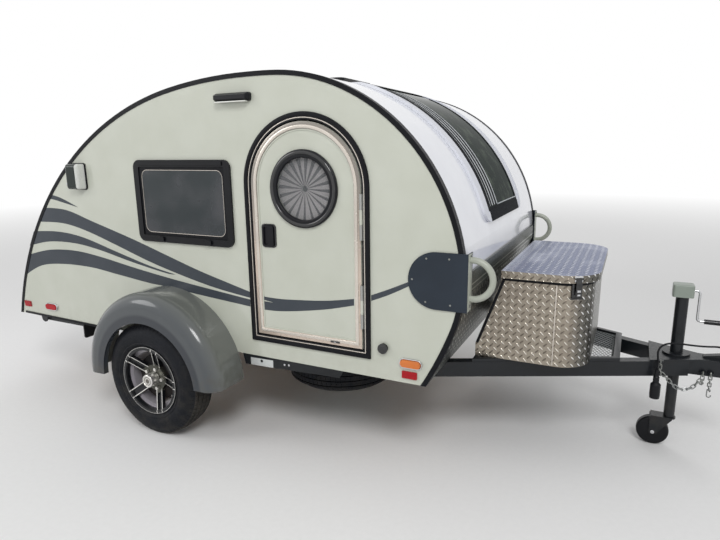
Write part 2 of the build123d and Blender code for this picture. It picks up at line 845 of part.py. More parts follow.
with BuildPart() as rails:
    with BuildSketch(ground.offset(rail_top)):
        with Locations(((chassis_tail_x + chassis_nose_x) / 2, -rail_y)):
            Rectangle(chassis_nose_x - chassis_tail_x, rail_width)
        with BuildLine():
            corners = ((chassis_nose_x, tongue_cut), (tongue_tip_x, tongue_cut),
                       (tongue_tip_x, -tongue_cut), (chassis_nose_x, -tongue_cut))
            Polyline(*[(x + seam, -tongue_y(x, shift)) for x, shift in corners], close=True)
        make_face()
    extrude(amount=-rail_height)
    with BuildSketch(ground.offset(rail_top)):
        with Locations((leg_pivot[0], -rail_y)):
            Rectangle(60, leg_y + bracket_width / 2 - rail_y, align=(Align.CENTER, Align.MAX))
    extrude(amount=-outrigger)
    for y in (leg_y + bracket_width / 2 - bracket_plate, leg_y - bracket_width / 2):
        with BuildSketch(side.offset(y)):
            with Locations(leg_pivot):
                Circle(30)
                Rectangle(60, rail_top - leg_pivot[1], align=(Align.CENTER, Align.MIN))
        extrude(amount=bracket_plate)
    with BuildSketch(side.offset(leg_y - bracket_width / 2)):
        with Locations(leg_pivot):
            Circle(pivot_r)
    extrude(amount=bracket_width)
keep_both(rails.part, "chassis_rails")

with BuildPart() as cross_members:
    with BuildSketch(ground.offset(rail_top)):
        with Locations(*[(x, 0) for x in cross_x]):
            Rectangle(rail_width, 2 * rail_y - rail_width)
        with BuildLine():
            Polyline(*[(x, sign * tongue_y(x, -tongue_cut)) for x, sign in
                       ((tray_nose_x - tongue_bar, 1), (tray_nose_x, 1), (tray_nose_x, -1),
                        (tray_nose_x - tongue_bar, -1))], close=True)
        make_face()
    extrude(amount=-rail_height)
keep(cross_members.part, "cross_members")

# Coupler: plate over the rails' tips and a nose with the ball socket
nose_r = 42
nose_low = 425
nose_top = rail_top + coupler_plate
flank = 6
chain_wire_r = 2.75
chain_inner = 9
chain_pitch = 21.5
chain_play = 0.6
eye_r = 13
eye_hole_r = 6.5
eye_thick = 10
latch_lever = (130, 34, 26)
cord_r = 4.5
gland_r = 9
gland_high = 8
edge = tongue_cut + flank

# Chain eyes: x from the jack, y, and the height of the top face
tail_eye = (-72, -tongue_y(jack_x - 72, edge) - eye_hole_r, rail_top + coupler_plate)
nose_eyes = ((116, -nose_r - eye_r - 5, nose_low + 25), (148, -nose_r - eye_r - 5, nose_low + 25))
gland_place = (232, -25)
with BuildPart() as coupler:
    with BuildSketch(ground.offset(rail_top)):
        with BuildLine():
            near = (coupler_tail_x, tongue_y(coupler_tail_x, edge))
            far = (tongue_tip_x + 40, tongue_y(tongue_tip_x + 40, edge))
            Polyline(near, far, (far[0], -far[1]), (near[0], -near[1]), close=True)
        make_face()
    extrude(amount=coupler_plate)
    with BuildSketch(ground.offset(nose_low)):
        with BuildLine():
            Polyline((tongue_tip_x + seam, far[1]), (ball_x, nose_r), (ball_x, -nose_r),
                     (tongue_tip_x + seam, -far[1]), close=True)
        make_face()
        with Locations((ball_x, 0)):
            Circle(ball_r)
    extrude(amount=nose_top - nose_low)
    for eyes in ((tail_eye,), nose_eyes):
        with BuildSketch(ground.offset(eyes[0][2] - eye_thick)):
            with Locations(*[(jack_x + x, y) for x, y, top in eyes]):
                Circle(eye_r)
            with Locations(*[(jack_x + x, y + eye_r) for x, y, top in eyes]):
                Rectangle(2 * eye_r, 2 * eye_r)
            with Locations(*[(jack_x + x, y) for x, y, top in eyes]):
                Circle(eye_hole_r, mode=Mode.SUBTRACT)
        extrude(amount=eye_thick)
    with BuildSketch(side.offset(-latch_lever[1] / 2)):
        with BuildLine():
            lever_x = ball_x - ball_r
            Polyline((lever_x - latch_lever[0], nose_top), (lever_x, nose_top),
                     (lever_x, nose_top + latch_lever[2] / 2),
                     (lever_x - latch_lever[0] / 3, nose_top + latch_lever[2]),
                     (lever_x - latch_lever[0], nose_top + latch_lever[2] / 3), close=True)
        make_face()
    extrude(amount=latch_lever[1])
    with BuildSketch(ground.offset(nose_top)):
        with Locations((jack_x + gland_place[0], gland_place[1] - latch_lever[1] / 2)):
            Circle(gland_r)
    extrude(amount=gland_high)
    with BuildSketch(ground.offset(nose_low)):
        with Locations((ball_x, 0)):
            Circle(socket_r)
    extrude(amount=socket_depth, mode=Mode.SUBTRACT)
    with Locations((axle_x + ball_x, 0, nose_low + socket_depth)):
        Sphere(socket_r, mode=Mode.SUBTRACT)
    with BuildSketch(ground.offset(rail_top)):
        with Locations((jack_x, 0)):
            Circle(jack_tube_r + seam)
    extrude(amount=coupler_plate, mode=Mode.SUBTRACT)
keep(coupler.part, "coupler")

# Safety chains: the long one from the tail eye to the nose, the short one hanging with its hook
chain_sag = ((-70, -156, 455), (-43, -152, 427), (-11, -147, 394), (20, -143, 375), (52, -136, 378),
             (84, -122, 399), (106, -100, 420))
chain_drop = 88
chain_rest = 1.7
link_shift = eye_hole_r / 2 + eye_r / 2
hook_eye_r = 6.5
hook_shank = 26
hook_bend_r = 8.5


def chain_end(eye):
    # Where the first link's inside rests on an eye's top face
    x, y, top = eye
    return Vector(axle_x + jack_x + x, y - link_shift, top + chain_rest)


def chain_joints(path):
    # Even steps along the path, an odd number of links so that both end links match
    count = 2 * round((path.length / chain_pitch - 1) / 2) + 1
    return [path @ (step / count) for step in range(count + 1)]


sag_points = [Vector(axle_x + jack_x + x, y, z) for x, y, z in chain_sag]
upright = Vector(0, 0, 1)
long_path = Spline(chain_end(tail_eye), *sag_points, chain_end(nose_eyes[0]),
                   tangents=(upright * -1, upright))
short_path = Line(chain_end(nose_eyes[1]), chain_end(nose_eyes[1]) - upright * chain_drop)
with BuildPart() as safety_chains:
    for joints in (chain_joints(long_path), chain_joints(short_path)):
        reach = (joints[1] - joints[0]).length + chain_play
        for step, (start, end) in enumerate(zip(joints, joints[1:])):
            along = (end - start).normalized()
            broad = (Vector(0, 1, 0) - along * along.Y).normalized()
            face = along.cross(broad) if step % 2 == 0 else broad
            half_run = (reach - chain_inner) / 2
            bend_r = (chain_inner + 2 * chain_wire_r) / 2
            with BuildLine(Plane(origin=(start + end) / 2, x_dir=along, z_dir=face)) as loop:
                upper = Line((-half_run, bend_r), (half_run, bend_r))
                turn = JernArc(upper @ 1, upper % 1, bend_r, -180)
                lower = Line(turn @ 1, (-half_run, -bend_r))
                JernArc(lower @ 1, lower % 1, bend_r, -180)
            with BuildSketch(Plane(origin=loop.line @ 0, z_dir=loop.line % 0)):
                RegularPolygon(chain_wire_r, 6)
            sweep()
    hook_top = joints[-1] - upright * (hook_eye_r - chain_wire_r - chain_play)
    with BuildLine(Plane(origin=hook_top, x_dir=(1, 0, 0), z_dir=(0, -1, 0))) as hook_path:
        eye_arc = CenterArc((0, 0), hook_eye_r, 290, 250)
        shank = Line((-hook_eye_r, 0), (-hook_eye_r, -hook_shank))
        JernArc(shank @ 1, shank % 1, hook_bend_r, 200)
    with BuildSketch(Plane(origin=hook_path.line @ 0, z_dir=hook_path.line % 0)):
        RegularPolygon(chain_wire_r, 6)
    sweep()
keep(safety_chains.part, "safety_chains")

# Lighting cord from its gland over the coupler, down to the plug that hangs beside the rail
cord_points = ((232, -42, 513), (232, -42, 548), (206, -58, 576), (166, -72, 588), (110, -90, 586),
               (48, -102, 588), (-14, -108, 592), (-66, -122, 584), (-90, -146, 556), (-84, -165, 512),
               (-84, -165, 466))
cord_route = [Vector(axle_x + jack_x + x, y, z) for x, y, z in cord_points]
cord_radii = []
for before, here, after in zip(cord_route, cord_route[1:], cord_route[2:]):
    half_turn = (here - before).get_angle(after - here) / 2
    cord_radii.append(0.45 * min((here - before).length, (after - here).length) / tan(radians(half_turn)))
with BuildPart() as tow_cord:
    with BuildLine() as cord_line:
        FilletPolyline(*cord_route, radius=cord_radii)
    with BuildSketch(Plane(origin=cord_line.line @ 0, z_dir=cord_line.line % 0)):
        Circle(cord_r)
    sweep()
print("cord radii", [round(radius) for radius in cord_radii], "length", round(cord_line.wire().length))
keep(tow_cord.part, "tow_cord")

# Plug: strain relief, body and the wider mating head; each row is radius and depth below the cord's end
plug_rows = ((8, 0), (11, 34), (14, 38), (14, 66), (22, 74), (23.5, 78), (23.5, 128), (22, 146))
plug_bore = (18, 10)
with BuildPart() as tow_plug:
    plug_top = cord_route[-1]
    with BuildSketch(Plane(origin=plug_top, x_dir=(1, 0, 0), z_dir=(0, -1, 0))):
        with BuildLine():
            Polyline((0, 0), *[(radius, -depth) for radius, depth in plug_rows],
                     (0, -plug_rows[-1][1]), close=True)
        make_face()
    revolve(axis=Axis(plug_top, (0, 0, 1)))
    with BuildSketch(Plane(origin=plug_top - upright * plug_rows[-1][1])):
        Circle(plug_bore[0])
        Circle(plug_bore[0] - 6, mode=Mode.SUBTRACT)
    extrude(amount=plug_bore[1], mode=Mode.SUBTRACT)
keep(tow_plug.part, "tow_plug")

# Tongue jack: outer tube with its flange, head, crank and the leg inside
flange_r = 62
flange_thick = 10
with BuildPart() as jack_tube:
    with BuildSketch(ground.offset(jack_tube_low)):
        with Locations((jack_x, 0)):
            Circle(jack_tube_r)
    extrude(amount=jack_tube_top - jack_tube_low)
    with BuildSketch(ground.offset(rail_top + coupler_plate)):
        with Locations((jack_x, 0)):
            Circle(flange_r)
    extrude(amount=flange_thick)
    with BuildSketch(ground.offset(jack_tube_low)):
        with Locations((jack_x, 0)):
            Circle(jack_tube_r - jack_tube_wall)
    extrude(amount=jack_tube_top - jack_tube_low, mode=Mode.SUBTRACT)
keep(jack_tube.part, "jack_tube")

with BuildPart() as jack_head:
    with BuildSketch(ground.offset(jack_tube_top)):
        with Locations((jack_x, 0)):
            RectangleRounded(jack_head_size[0], jack_head_size[1], 12)
    extrude(amount=jack_head_size[2])
    fillet(jack_head.faces().sort_by(Axis.Z)[-1].edges(), 8)
keep(jack_head.part, "jack_head")

crank_z = jack_tube_top + jack_head_size[2] / 2
crank_r = 6
crank_out = 26
crank_drop = 150
crank_grip = 95
crank_bend = 14
with BuildPart() as crank:
    head_face = jack_x + jack_head_size[0] / 2
    with BuildLine(side) as crank_path:
        FilletPolyline((head_face, crank_z), (head_face + crank_out, crank_z),
                       (head_face + crank_out, crank_z - crank_drop),
                       (head_face + crank_out + 30, crank_z - crank_drop), radius=crank_bend)
    with BuildSketch(Plane(origin=crank_path.line @ 0, z_dir=crank_path.line % 0)):
        Circle(crank_r)
    sweep()
    with BuildSketch(front.offset(head_face + crank_out + 30)):
        with Locations((0, crank_z - crank_drop)):
            Circle(12)
    extrude(amount=crank_grip)
keep(crank.part, "jack_crank")

with BuildPart() as jack_leg:
    with BuildSketch(ground.offset(jack_leg_low)):
        with Locations((jack_x, 0)):
            Circle(jack_leg_r)
    extrude(amount=jack_leg_top - jack_leg_low)
keep(jack_leg.part, "jack_leg")

# Caster: swivel fork trailing behind the leg, and its wheel
caster_x = jack_x - caster_trail
crown_thick = 8
fork_half = caster_width / 2 + gap
with BuildPart() as fork:
    with BuildSketch(ground.offset(jack_leg_low - seam)):
        with Locations((jack_x, 0)):
            Circle(jack_leg_r + 6)
        with Locations(((jack_x + caster_x) / 2, 0)):
            Rectangle(caster_trail + 30, 2 * fork_half + 2 * fork_plate)
    extrude(amount=-crown_thick)
    for y in (fork_half, -fork_half - fork_plate):
        with BuildSketch(side.offset(y)):
            with BuildLine():
                crown_z = jack_leg_low - seam - crown_thick
                Polyline((caster_x - 18, crown_z), (jack_x + 15, crown_z), (caster_x + 16, caster_r - 10),
                         (caster_x - 16, caster_r - 10), close=True)
            make_face()
        extrude(amount=fork_plate)
    with BuildSketch(side.offset(-fork_half)):
        with Locations((caster_x, caster_r)):
            Circle(6)
    extrude(amount=2 * fork_half)
keep(fork.part, "caster_fork")

with BuildPart() as caster:
    with BuildSketch(side.offset(-caster_width / 2)):
        with Locations((caster_x, caster_r)):
            Circle(caster_r)
            Circle(6 + bearing_gap, mode=Mode.SUBTRACT)
    extrude(amount=caster_width)
    fillet(caster.edges().filter_by(GeomType.CIRCLE).group_by(SortBy.RADIUS)[-1], 12)
keep(caster.part, "caster_wheel")

# Tongue box: D-shaped in plan with a stepped back, on its tray
def box_plan(half, tail, nose, corner):
    with BuildSketch() as face:
        with Locations((tail, 0)):
            Rectangle(nose - tail, 2 * half, align=(Align.MIN, Align.CENTER))
        fillet(face.vertices().group_by(Axis.X)[-1], corner)
    return face.sketch


lid_tail_x = box_tail_x - box_sheet
lid_pin_x = box_tail_x - 2 * lid_pin_r
lid_pin_z = box_top - lid_pin_r - 1


def lid_knuckles(first, *strips):
    # Every second knuckle of the lid's hinge, with the strips that carry it
    with BuildPart() as row:
        length = 2 * lid_hinge_half / lid_knuckle_count
        for step in range(first, lid_knuckle_count, 2):
            place = side.offset(lid_hinge_half - (step + 1) * length + knuckle_gap)
            with BuildSketch(place):
                with Locations((lid_pin_x, lid_pin_z)):
                    Circle(lid_pin_r)
                for low, high in strips:
                    with Locations(low):
                        Rectangle(high[0] - low[0], high[1] - low[1], align=(Align.MIN, Align.MIN))
            extrude(amount=length - knuckle_gap)
    return row.part


with BuildPart() as box:
    with BuildSketch(ground.offset(box_low)):
        add(box_plan(box_half, box_step_x, box_nose_x, box_corner_r))
    extrude(amount=box_top - box_low)
    with BuildSketch(side):
        with BuildLine():
            Polyline((box_step_x, box_step_z), (box_tail_x, box_top), (box_step_x, box_top), close=True)
        make_face()
    extrude(amount=2 * box_half, both=True, mode=Mode.SUBTRACT)
    offset(amount=-box_sheet, openings=box.faces().sort_by(Axis.Z)[-1])
    for sign in (1, -1):
        latch_out = Vector(sin(radians(latch_turn)), sign * cos(radians(latch_turn)))
        corner = Vector(axle_x + box_nose_x - box_corner_r, sign * (box_half - box_corner_r), latch_z)
        with BuildSketch(Plane(origin=corner + latch_out * (box_corner_r - box_sheet / 2), x_dir=(0, 0, 1),
                               z_dir=latch_out)):
            RectangleRounded(latch_size[1], latch_size[0], 6)
        extrude(amount=latch_size[2])
    add(lid_knuckles(0, ((lid_pin_x, lid_pin_z - lid_pin_r / 2), (box_tail_x, lid_pin_z + lid_pin_r / 2))))
keep(box.part, "tongue_box")

lid_low = box_top + seam
lid_height = box_top + lid_rise
lid_grow = lid_half - box_half
with BuildPart() as lid:
    with BuildSketch(ground.offset(lid_low)):
        add(box_plan(lid_half, lid_tail_x, box_nose_x + lid_grow, box_corner_r + lid_grow))
    extrude(amount=lid_height - lid_low)
    offset(amount=-box_sheet, openings=lid.faces().sort_by(Axis.Z)[0])
    strip_x = lid_pin_x - lid_pin_r / 2
    strip_top = lid_low + 2 * lid_pin_r
    add(lid_knuckles(1, ((strip_x, lid_pin_z), (strip_x + lid_pin_r, strip_top)),
                     ((strip_x, lid_low), (lid_tail_x + box_sheet, strip_top))))
keep(lid.part, "box_lid")

with BuildPart() as tray:
    with BuildSketch(ground.offset(rail_top)):
        with BuildLine():
            Polyline(*[(x, sign * tongue_y(x, tongue_cut)) for x, sign in
                       ((box_step_x, 1), (tray_nose_x, 1), (tray_nose_x, -1), (box_step_x, -1))], close=True)
        make_face()
    extrude(amount=box_low - rail_top)
    with BuildSketch(ground.offset(rail_top + tray_sheet)):
        with BuildLine():
            Polyline(*[(x, sign * tongue_y(x, -tongue_cut)) for x, sign in
                       ((box_step_x + tray_edge, 1), (tray_nose_x - tray_edge, 1),
                        (tray_nose_x - tray_edge, -1), (box_step_x + tray_edge, -1))], close=True)
        make_face()
    extrude(amount=box_low, mode=Mode.SUBTRACT)
keep(tray.part, "box_tray")

# Stabiliser legs, folded forward under the tail
with BuildPart() as leg:
    with BuildSketch(side.offset(leg_y - leg_tube / 2)):
        with Locations((leg_pivot[0] - 22, leg_pivot[1])):
            Rectangle(leg_length + 22, leg_tube, align=(Align.MIN, Align.CENTER))
        with Locations(leg_pivot):
            Circle(pivot_r + bearing_gap, mode=Mode.SUBTRACT)
    extrude(amount=leg_tube)
    with BuildSketch(front.offset(leg_pivot[0] + leg_length)):
        with Locations((-leg_y, leg_pivot[1] - 20)):
            RectangleRounded(pad_size, pad_size, 12)
    extrude(amount=pad_thick)
keep_pair(leg.part, "stabiliser_leg")

# Spare wheel, flat under the floor
spare_mid = spare_low + tyre_width / 2
spare_plane = Plane(origin=(axle_x + spare_x, spare_y, spare_mid), x_dir=(1, 0, 0), z_dir=(0, -1, 0))
with BuildPart() as spare:
    with BuildSketch(spare_plane):
        add(tyre_section())
    revolve(axis=Axis(spare_plane.origin, (0, 0, 1)))
keep(spare.part, "spare_tyre")

with BuildPart() as spare_rim:
    with BuildSketch(Plane(origin=(axle_x + spare_x, spare_y, spare_mid - rim_half + lip + seam))):
        Circle(bead_r)
        Circle(bead_r - barrel_wall, mode=Mode.SUBTRACT)
    extrude(amount=rim_width - 2 * lip - 2 * seam)
    with BuildSketch(Plane(origin=(axle_x + spare_x, spare_y, spare_low + spare_disc[0]))):
        Circle(bead_r)
        with PolarLocations(spare_holes[0], spare_holes[2]):
            Circle(spare_holes[1], mode=Mode.SUBTRACT)
    extrude(amount=spare_disc[1])
    hanger_low = spare_low + spare_disc[0] + spare_disc[1]
    with BuildSketch(Plane(origin=(axle_x + spare_x, spare_y, hanger_low))):
        Circle(spare_hanger_r)
    extrude(amount=rail_top - hanger_low)
keep(spare_rim.part, "spare_rim")

# Lamps and fittings on the side wall
def wall_blocks(rows):
    # Columns: x, z, length, height, corner radius, how far it stands out
    with BuildPart() as blocks:
        for x, z, length, high, corner, proud in rows:
            with BuildSketch(side.offset(wall_face)):
                with Locations((x, z)):
                    RectangleRounded(length, high, corner)
            extrude(amount=proud)
    return blocks.part


amber_rows = ((ends_at(584)[1] - 123, 584, 96, 34, 16.5, 16),)
red_rows = ((ends_at(528)[1] - 100, 528, 72, 34, 3, 6),
            (ends_at(562)[0] + 309, 562, 96, 34, 16.5, 16), (ends_at(556)[0] + 69, 556, 62, 36, 3, 6))
porch_rows = ((530, roof_height - 110, 206, 40, 12, 38),)
hood_rows = ((-612, roof_height - 490, 100, 142, 12, 60),)
inlet_rows = ((1299, 638, 44, 44, 21.9, 14),)
porch_slant = 22
hood_round = 20
louvre_count = 4
louvre = (10, 34, 16)
keep_both(wall_blocks(amber_rows), "amber_markers")
keep(wall_blocks(inlet_rows), "power_inlet")

with BuildPart() as porch_lamp:
    add(wall_blocks(porch_rows))
    chamfer(porch_lamp.faces().sort_by(Axis.Y)[0].edges().sort_by(Axis.Z)[-1], porch_slant, porch_slant / 2)
keep_both(porch_lamp.part, "porch_lamps")

# Vent hood with louvres on its rear side
with BuildPart() as hood:
    add(wall_blocks(hood_rows))
    fillet(hood.faces().sort_by(Axis.Y)[0].edges(), hood_round)
    hood_x, hood_z, hood_length, hood_height = hood_rows[0][:4]
    with BuildSketch(front.offset(hood_x - hood_length / 2)):
        with Locations((-wall_face - hood_rows[0][5] / 2, hood_z)):
            with GridLocations(0, hood_height / (louvre_count + 1), 1, louvre_count):
                Rectangle(louvre[1], louvre[0])
    extrude(amount=louvre[2], mode=Mode.SUBTRACT)
keep(hood.part, "vent_hood")

# Tail lamps on the sill, with the other red lamps and reflectors
with BuildPart() as tail_lamps:
    with BuildSketch(front.offset(-coupler_reach)):
        with Locations((-lamp_y, sill_mid)):
            RectangleRounded(*lamp_size, lamp_size[1] / 2 - 1)
    extrude(amount=coupler_reach)
    with BuildSketch(side):
        add(band(trim_proud - seam, -lamp_proud, body_bottom))
    extrude(amount=wall_inner, both=True, mode=Mode.INTERSECT)
keep_both(tail_lamps.part + wall_blocks(red_rows), "red_lamps")

# Roof fan
fan_x = 560
fan_size = 400
fan_high = 40
fan_base = surface_z(fan_x, trim_proud) - 2
with BuildPart() as fan:
    with BuildSketch(ground.offset(fan_base)):
        with Locations((fan_x, 0)):
            RectangleRounded(fan_size, fan_size, 40)
    extrude(amount=fan_high)
    with BuildSketch(side):
        add(outline(trim_proud, body_bottom))
    extrude(amount=wall_inner, both=True, mode=Mode.SUBTRACT)
keep(fan.part, "roof_fan")
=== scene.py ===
import json
from math import atan2, cos, pi, radians, sin, sqrt

import bpy
from mathutils import Matrix, Vector


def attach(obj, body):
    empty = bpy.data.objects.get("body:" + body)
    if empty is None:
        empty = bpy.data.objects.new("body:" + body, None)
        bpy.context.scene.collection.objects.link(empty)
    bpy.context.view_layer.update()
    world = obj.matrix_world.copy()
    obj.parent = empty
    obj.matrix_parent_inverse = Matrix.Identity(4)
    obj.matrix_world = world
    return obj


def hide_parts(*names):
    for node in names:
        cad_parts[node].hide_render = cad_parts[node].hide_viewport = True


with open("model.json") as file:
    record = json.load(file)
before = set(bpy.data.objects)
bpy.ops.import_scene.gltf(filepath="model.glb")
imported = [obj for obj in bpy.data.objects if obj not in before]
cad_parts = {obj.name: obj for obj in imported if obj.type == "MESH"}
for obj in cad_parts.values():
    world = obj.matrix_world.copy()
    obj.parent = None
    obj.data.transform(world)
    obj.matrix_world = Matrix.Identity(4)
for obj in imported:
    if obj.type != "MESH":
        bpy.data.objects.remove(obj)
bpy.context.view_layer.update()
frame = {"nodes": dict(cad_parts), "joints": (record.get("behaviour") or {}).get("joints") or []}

nodes = frame["nodes"]
joints = {joint["name"]: joint for joint in frame["joints"]}
axleX, wheelY, tyreR = joints["wheel_left_spin"]["pos_m"]
bpy.context.scene.view_settings.view_transform = "Standard"
print("frame loaded")


# Helpers

def at(x, y, z):
    # a place whose X is measured from the wheels' axle, as the X sizes of all pieces are
    return (axleX + x, y, z)


def clearAll():
    if bpy.context.object and bpy.context.object.mode != "OBJECT":
        bpy.ops.object.mode_set(mode="OBJECT")
    bpy.ops.object.select_all(action="DESELECT")


def pick(piece):
    clearAll()
    piece.select_set(True)
    bpy.context.view_layer.objects.active = piece


def newest(name):
    piece = bpy.context.object
    piece.name = name
    piece.data.name = name
    return piece


def settle(piece):
    # the place goes into the mesh
    pick(piece)
    bpy.ops.object.transform_apply(location=True, rotation=True, scale=True)
    return piece


def editAll(piece):
    pick(piece)
    bpy.ops.object.mode_set(mode="EDIT")
    bpy.ops.mesh.select_all(action="SELECT")


def closeEdit(piece):
    # faces turned outwards
    bpy.ops.mesh.select_all(action="SELECT")
    bpy.ops.mesh.normals_make_consistent(inside=False)
    bpy.ops.object.mode_set(mode="OBJECT")
    return piece


def outlinePiece(name, points, filled=True):
    # a circle whose points are moved to an outline
    clearAll()
    bpy.ops.mesh.primitive_circle_add(vertices=len(points), fill_type="NGON" if filled else "NOTHING")
    piece = newest(name)
    for vertex, point in zip(piece.data.vertices, points):
        vertex.co = point
    return piece


def extrudeAll(piece, move):
    editAll(piece)
    bpy.ops.mesh.extrude_region_move(TRANSFORM_OT_translate={"value": move})
    return closeEdit(piece)


def slab(name, points, move):
    # an outline pulled out to a plate
    return extrudeAll(outlinePiece(name, points), move)


def ringSlab(name, outer, inner, move):
    # a flat ring between two outlines of as many points, pulled out to a plate
    ring = joined([outlinePiece(name, points, filled=False) for points in (outer, inner)], name)
    editAll(ring)
    bpy.ops.mesh.bridge_edge_loops()
    bpy.ops.object.mode_set(mode="OBJECT")
    return extrudeAll(ring, move)


def lathe(name, points, centre, steps=96):
    # a closed section turned round an axis along Y
    piece = outlinePiece(name, points, filled=False)
    editAll(piece)
    bpy.ops.mesh.spin(steps=steps, angle=2 * pi, center=centre, axis=(0, 1, 0), use_auto_merge=True)
    bpy.ops.mesh.select_all(action="SELECT")
    bpy.ops.mesh.remove_doubles(threshold=0.00001)
    return smoothBy(closeEdit(piece))


def smoothBy(piece, angle=35):
    pick(piece)
    bpy.ops.object.shade_smooth_by_angle(angle=radians(angle))
    return piece


def bevelAll(piece, width, segments=2):
    pick(piece)
    bevel = piece.modifiers.new("Bevel", "BEVEL")
    bevel.width = width
    bevel.segments = segments
    bevel.limit_method = "ANGLE"
    bevel.angle_limit = radians(40)
    bpy.ops.object.modifier_apply(modifier=bevel.name)
    return smoothBy(piece)


def copyOf(piece, name):
    twin = piece.copy()
    twin.data = piece.data.copy()
    twin.name = name
    twin.data.name = name
    bpy.context.scene.collection.objects.link(twin)
    return twin


def mirrored(piece, name):
    # the same piece on the left side
    twin = copyOf(piece, name)
    pick(twin)
    bpy.ops.transform.mirror(constraint_axis=(False, True, False), center_override=(0, 0, 0))
    bpy.ops.object.transform_apply(location=True, rotation=True, scale=True)
    editAll(twin)
    bpy.ops.mesh.remove_doubles(threshold=0.00001)
    return closeEdit(twin)


def block(name, low, high, bevel=0.0):
    # a box between two corners with its edges broken
    clearAll()
    bpy.ops.mesh.primitive_cube_add(size=1, location=[(a + b) / 2 for a, b in zip(low, high)])
    piece = newest(name)
    bpy.ops.transform.resize(value=[abs(b - a) for a, b in zip(low, high)])
    settle(piece)
    return bevelAll(piece, bevel) if bevel else piece


def rod(name, start, end, radius, sides=16, bevel=0.0):
    # a round bar between two points
    start, end = Vector(start), Vector(end)
    clearAll()
    bpy.ops.mesh.primitive_cylinder_add(vertices=sides, radius=radius, depth=(end - start).length,
                                        location=(start + end) / 2,
                                        rotation=(end - start).to_track_quat("Z", "Y").to_euler())
    piece = settle(newest(name))
    return bevelAll(piece, bevel) if bevel else smoothBy(piece)


def joined(pieces, name):
    clearAll()
    for piece in pieces:
        piece.select_set(True)
    bpy.context.view_layer.objects.active = pieces[0]
    bpy.ops.object.join()
    return newest(name)


def finishPiece(piece, material, body="trailer", instead=()):
    piece.data.materials.clear()
    piece.data.materials.append(material)
    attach(piece, body)
    if instead:
        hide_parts(*instead)
    return piece


def bothSides(piece, material, body="trailer"):
    # finishes a piece of the right side, then its mirror image on the left
    finishPiece(piece, material, body)
    twin = mirrored(piece, piece.name.replace("_right", "_left"))
    return finishPiece(twin, material, body.replace("right", "left"))


# Materials

def linear(hexColour):
    # screen colour to the shader's own
    parts = [int(hexColour[i:i + 2], 16) / 255 for i in (1, 3, 5)]
    return [p / 12.92 if p <= 0.04045 else ((p + 0.055) / 1.055) ** 2.4 for p in parts] + [1]


def wire(tree, node, inputs):
    # nodes and sockets are linked, numbers and hex colours set; an input goes by its place or its name
    inUse = [socket for socket in node.inputs if socket.enabled]
    for key, value in inputs.items():
        socket = inUse[key] if isinstance(key, int) else node.inputs[key]
        if isinstance(value, bpy.types.Node):
            value = next(output for output in value.outputs if output.enabled)
        if isinstance(value, bpy.types.NodeSocket):
            tree.links.new(value, socket)
        else:
            socket.default_value = linear(value) if isinstance(value, str) else value


def add(tree, kind, *inputs, **named):
    # a new node; a kind in capitals is a Math node's operation, a second word the operation or data type
    kind, *choice = ("Math " + kind if kind.isupper() else kind).split()
    node = tree.nodes.new("ShaderNode" + kind)
    for word in choice:
        setattr(node, "operation" if hasattr(node, "operation") else "data_type", word)
    wire(tree, node, {**dict(enumerate(inputs)), **named})
    return node


def newMaterial(name):
    material = bpy.data.materials.new(name)
    material.use_nodes = True
    tree = material.node_tree
    return material, tree, tree.nodes["Principled BSDF"], add(tree, "TexCoord").outputs["Object"]


def plain(name, colour, second, metal=0.0, rough=(0.3, 0.5), grain=60, bump=0.0002, coat=0.0, blotch=6,
          dirt=None, dirtTop=0.0, stretch=(1, 1, 1), shine=0.5):
    # soft blotches of the second colour, fine grain in roughness and relief, dirt low down; grain and blotch
    # are cells to the metre, so 6 is a blotch of 170 mm and 120 a grain of 8 mm, as fine as the render shows
    material, tree, shader, place = newMaterial(name)
    spread = add(tree, "Mapping", place, Scale=stretch)
    large = add(tree, "TexNoise", spread, blotch, 4.0)
    fine = add(tree, "TexNoise", spread, grain, 3.0)
    tint = add(tree, "Mix RGBA", add(tree, "MapRange", large, 0.35, 0.7), colour, second)
    if dirt:
        low = add(tree, "MapRange", add(tree, "SeparateXYZ", place).outputs[2], dirtTop, 0.0)
        speck = add(tree, "MapRange", add(tree, "TexNoise", place, 22.0, 6.0), 0.42, 0.72)
        tint = add(tree, "Mix RGBA", add(tree, "MULTIPLY", low, speck), tint, dirt)
    wire(tree, shader, {"Base Color": tint, "Roughness": add(tree, "MapRange", fine, 0.3, 0.7, *rough),
                        "Metallic": metal, "Specular IOR Level": shine, "Coat Weight": coat,
                        "Coat Roughness": 0.04, "Normal": add(tree, "Bump", 0.5, bump, Height=fine)})
    return material


boxWrap = {"x": axleX + 1.99, "y": 0.30, "radius": 0.15}  # where the box's front corners begin to turn


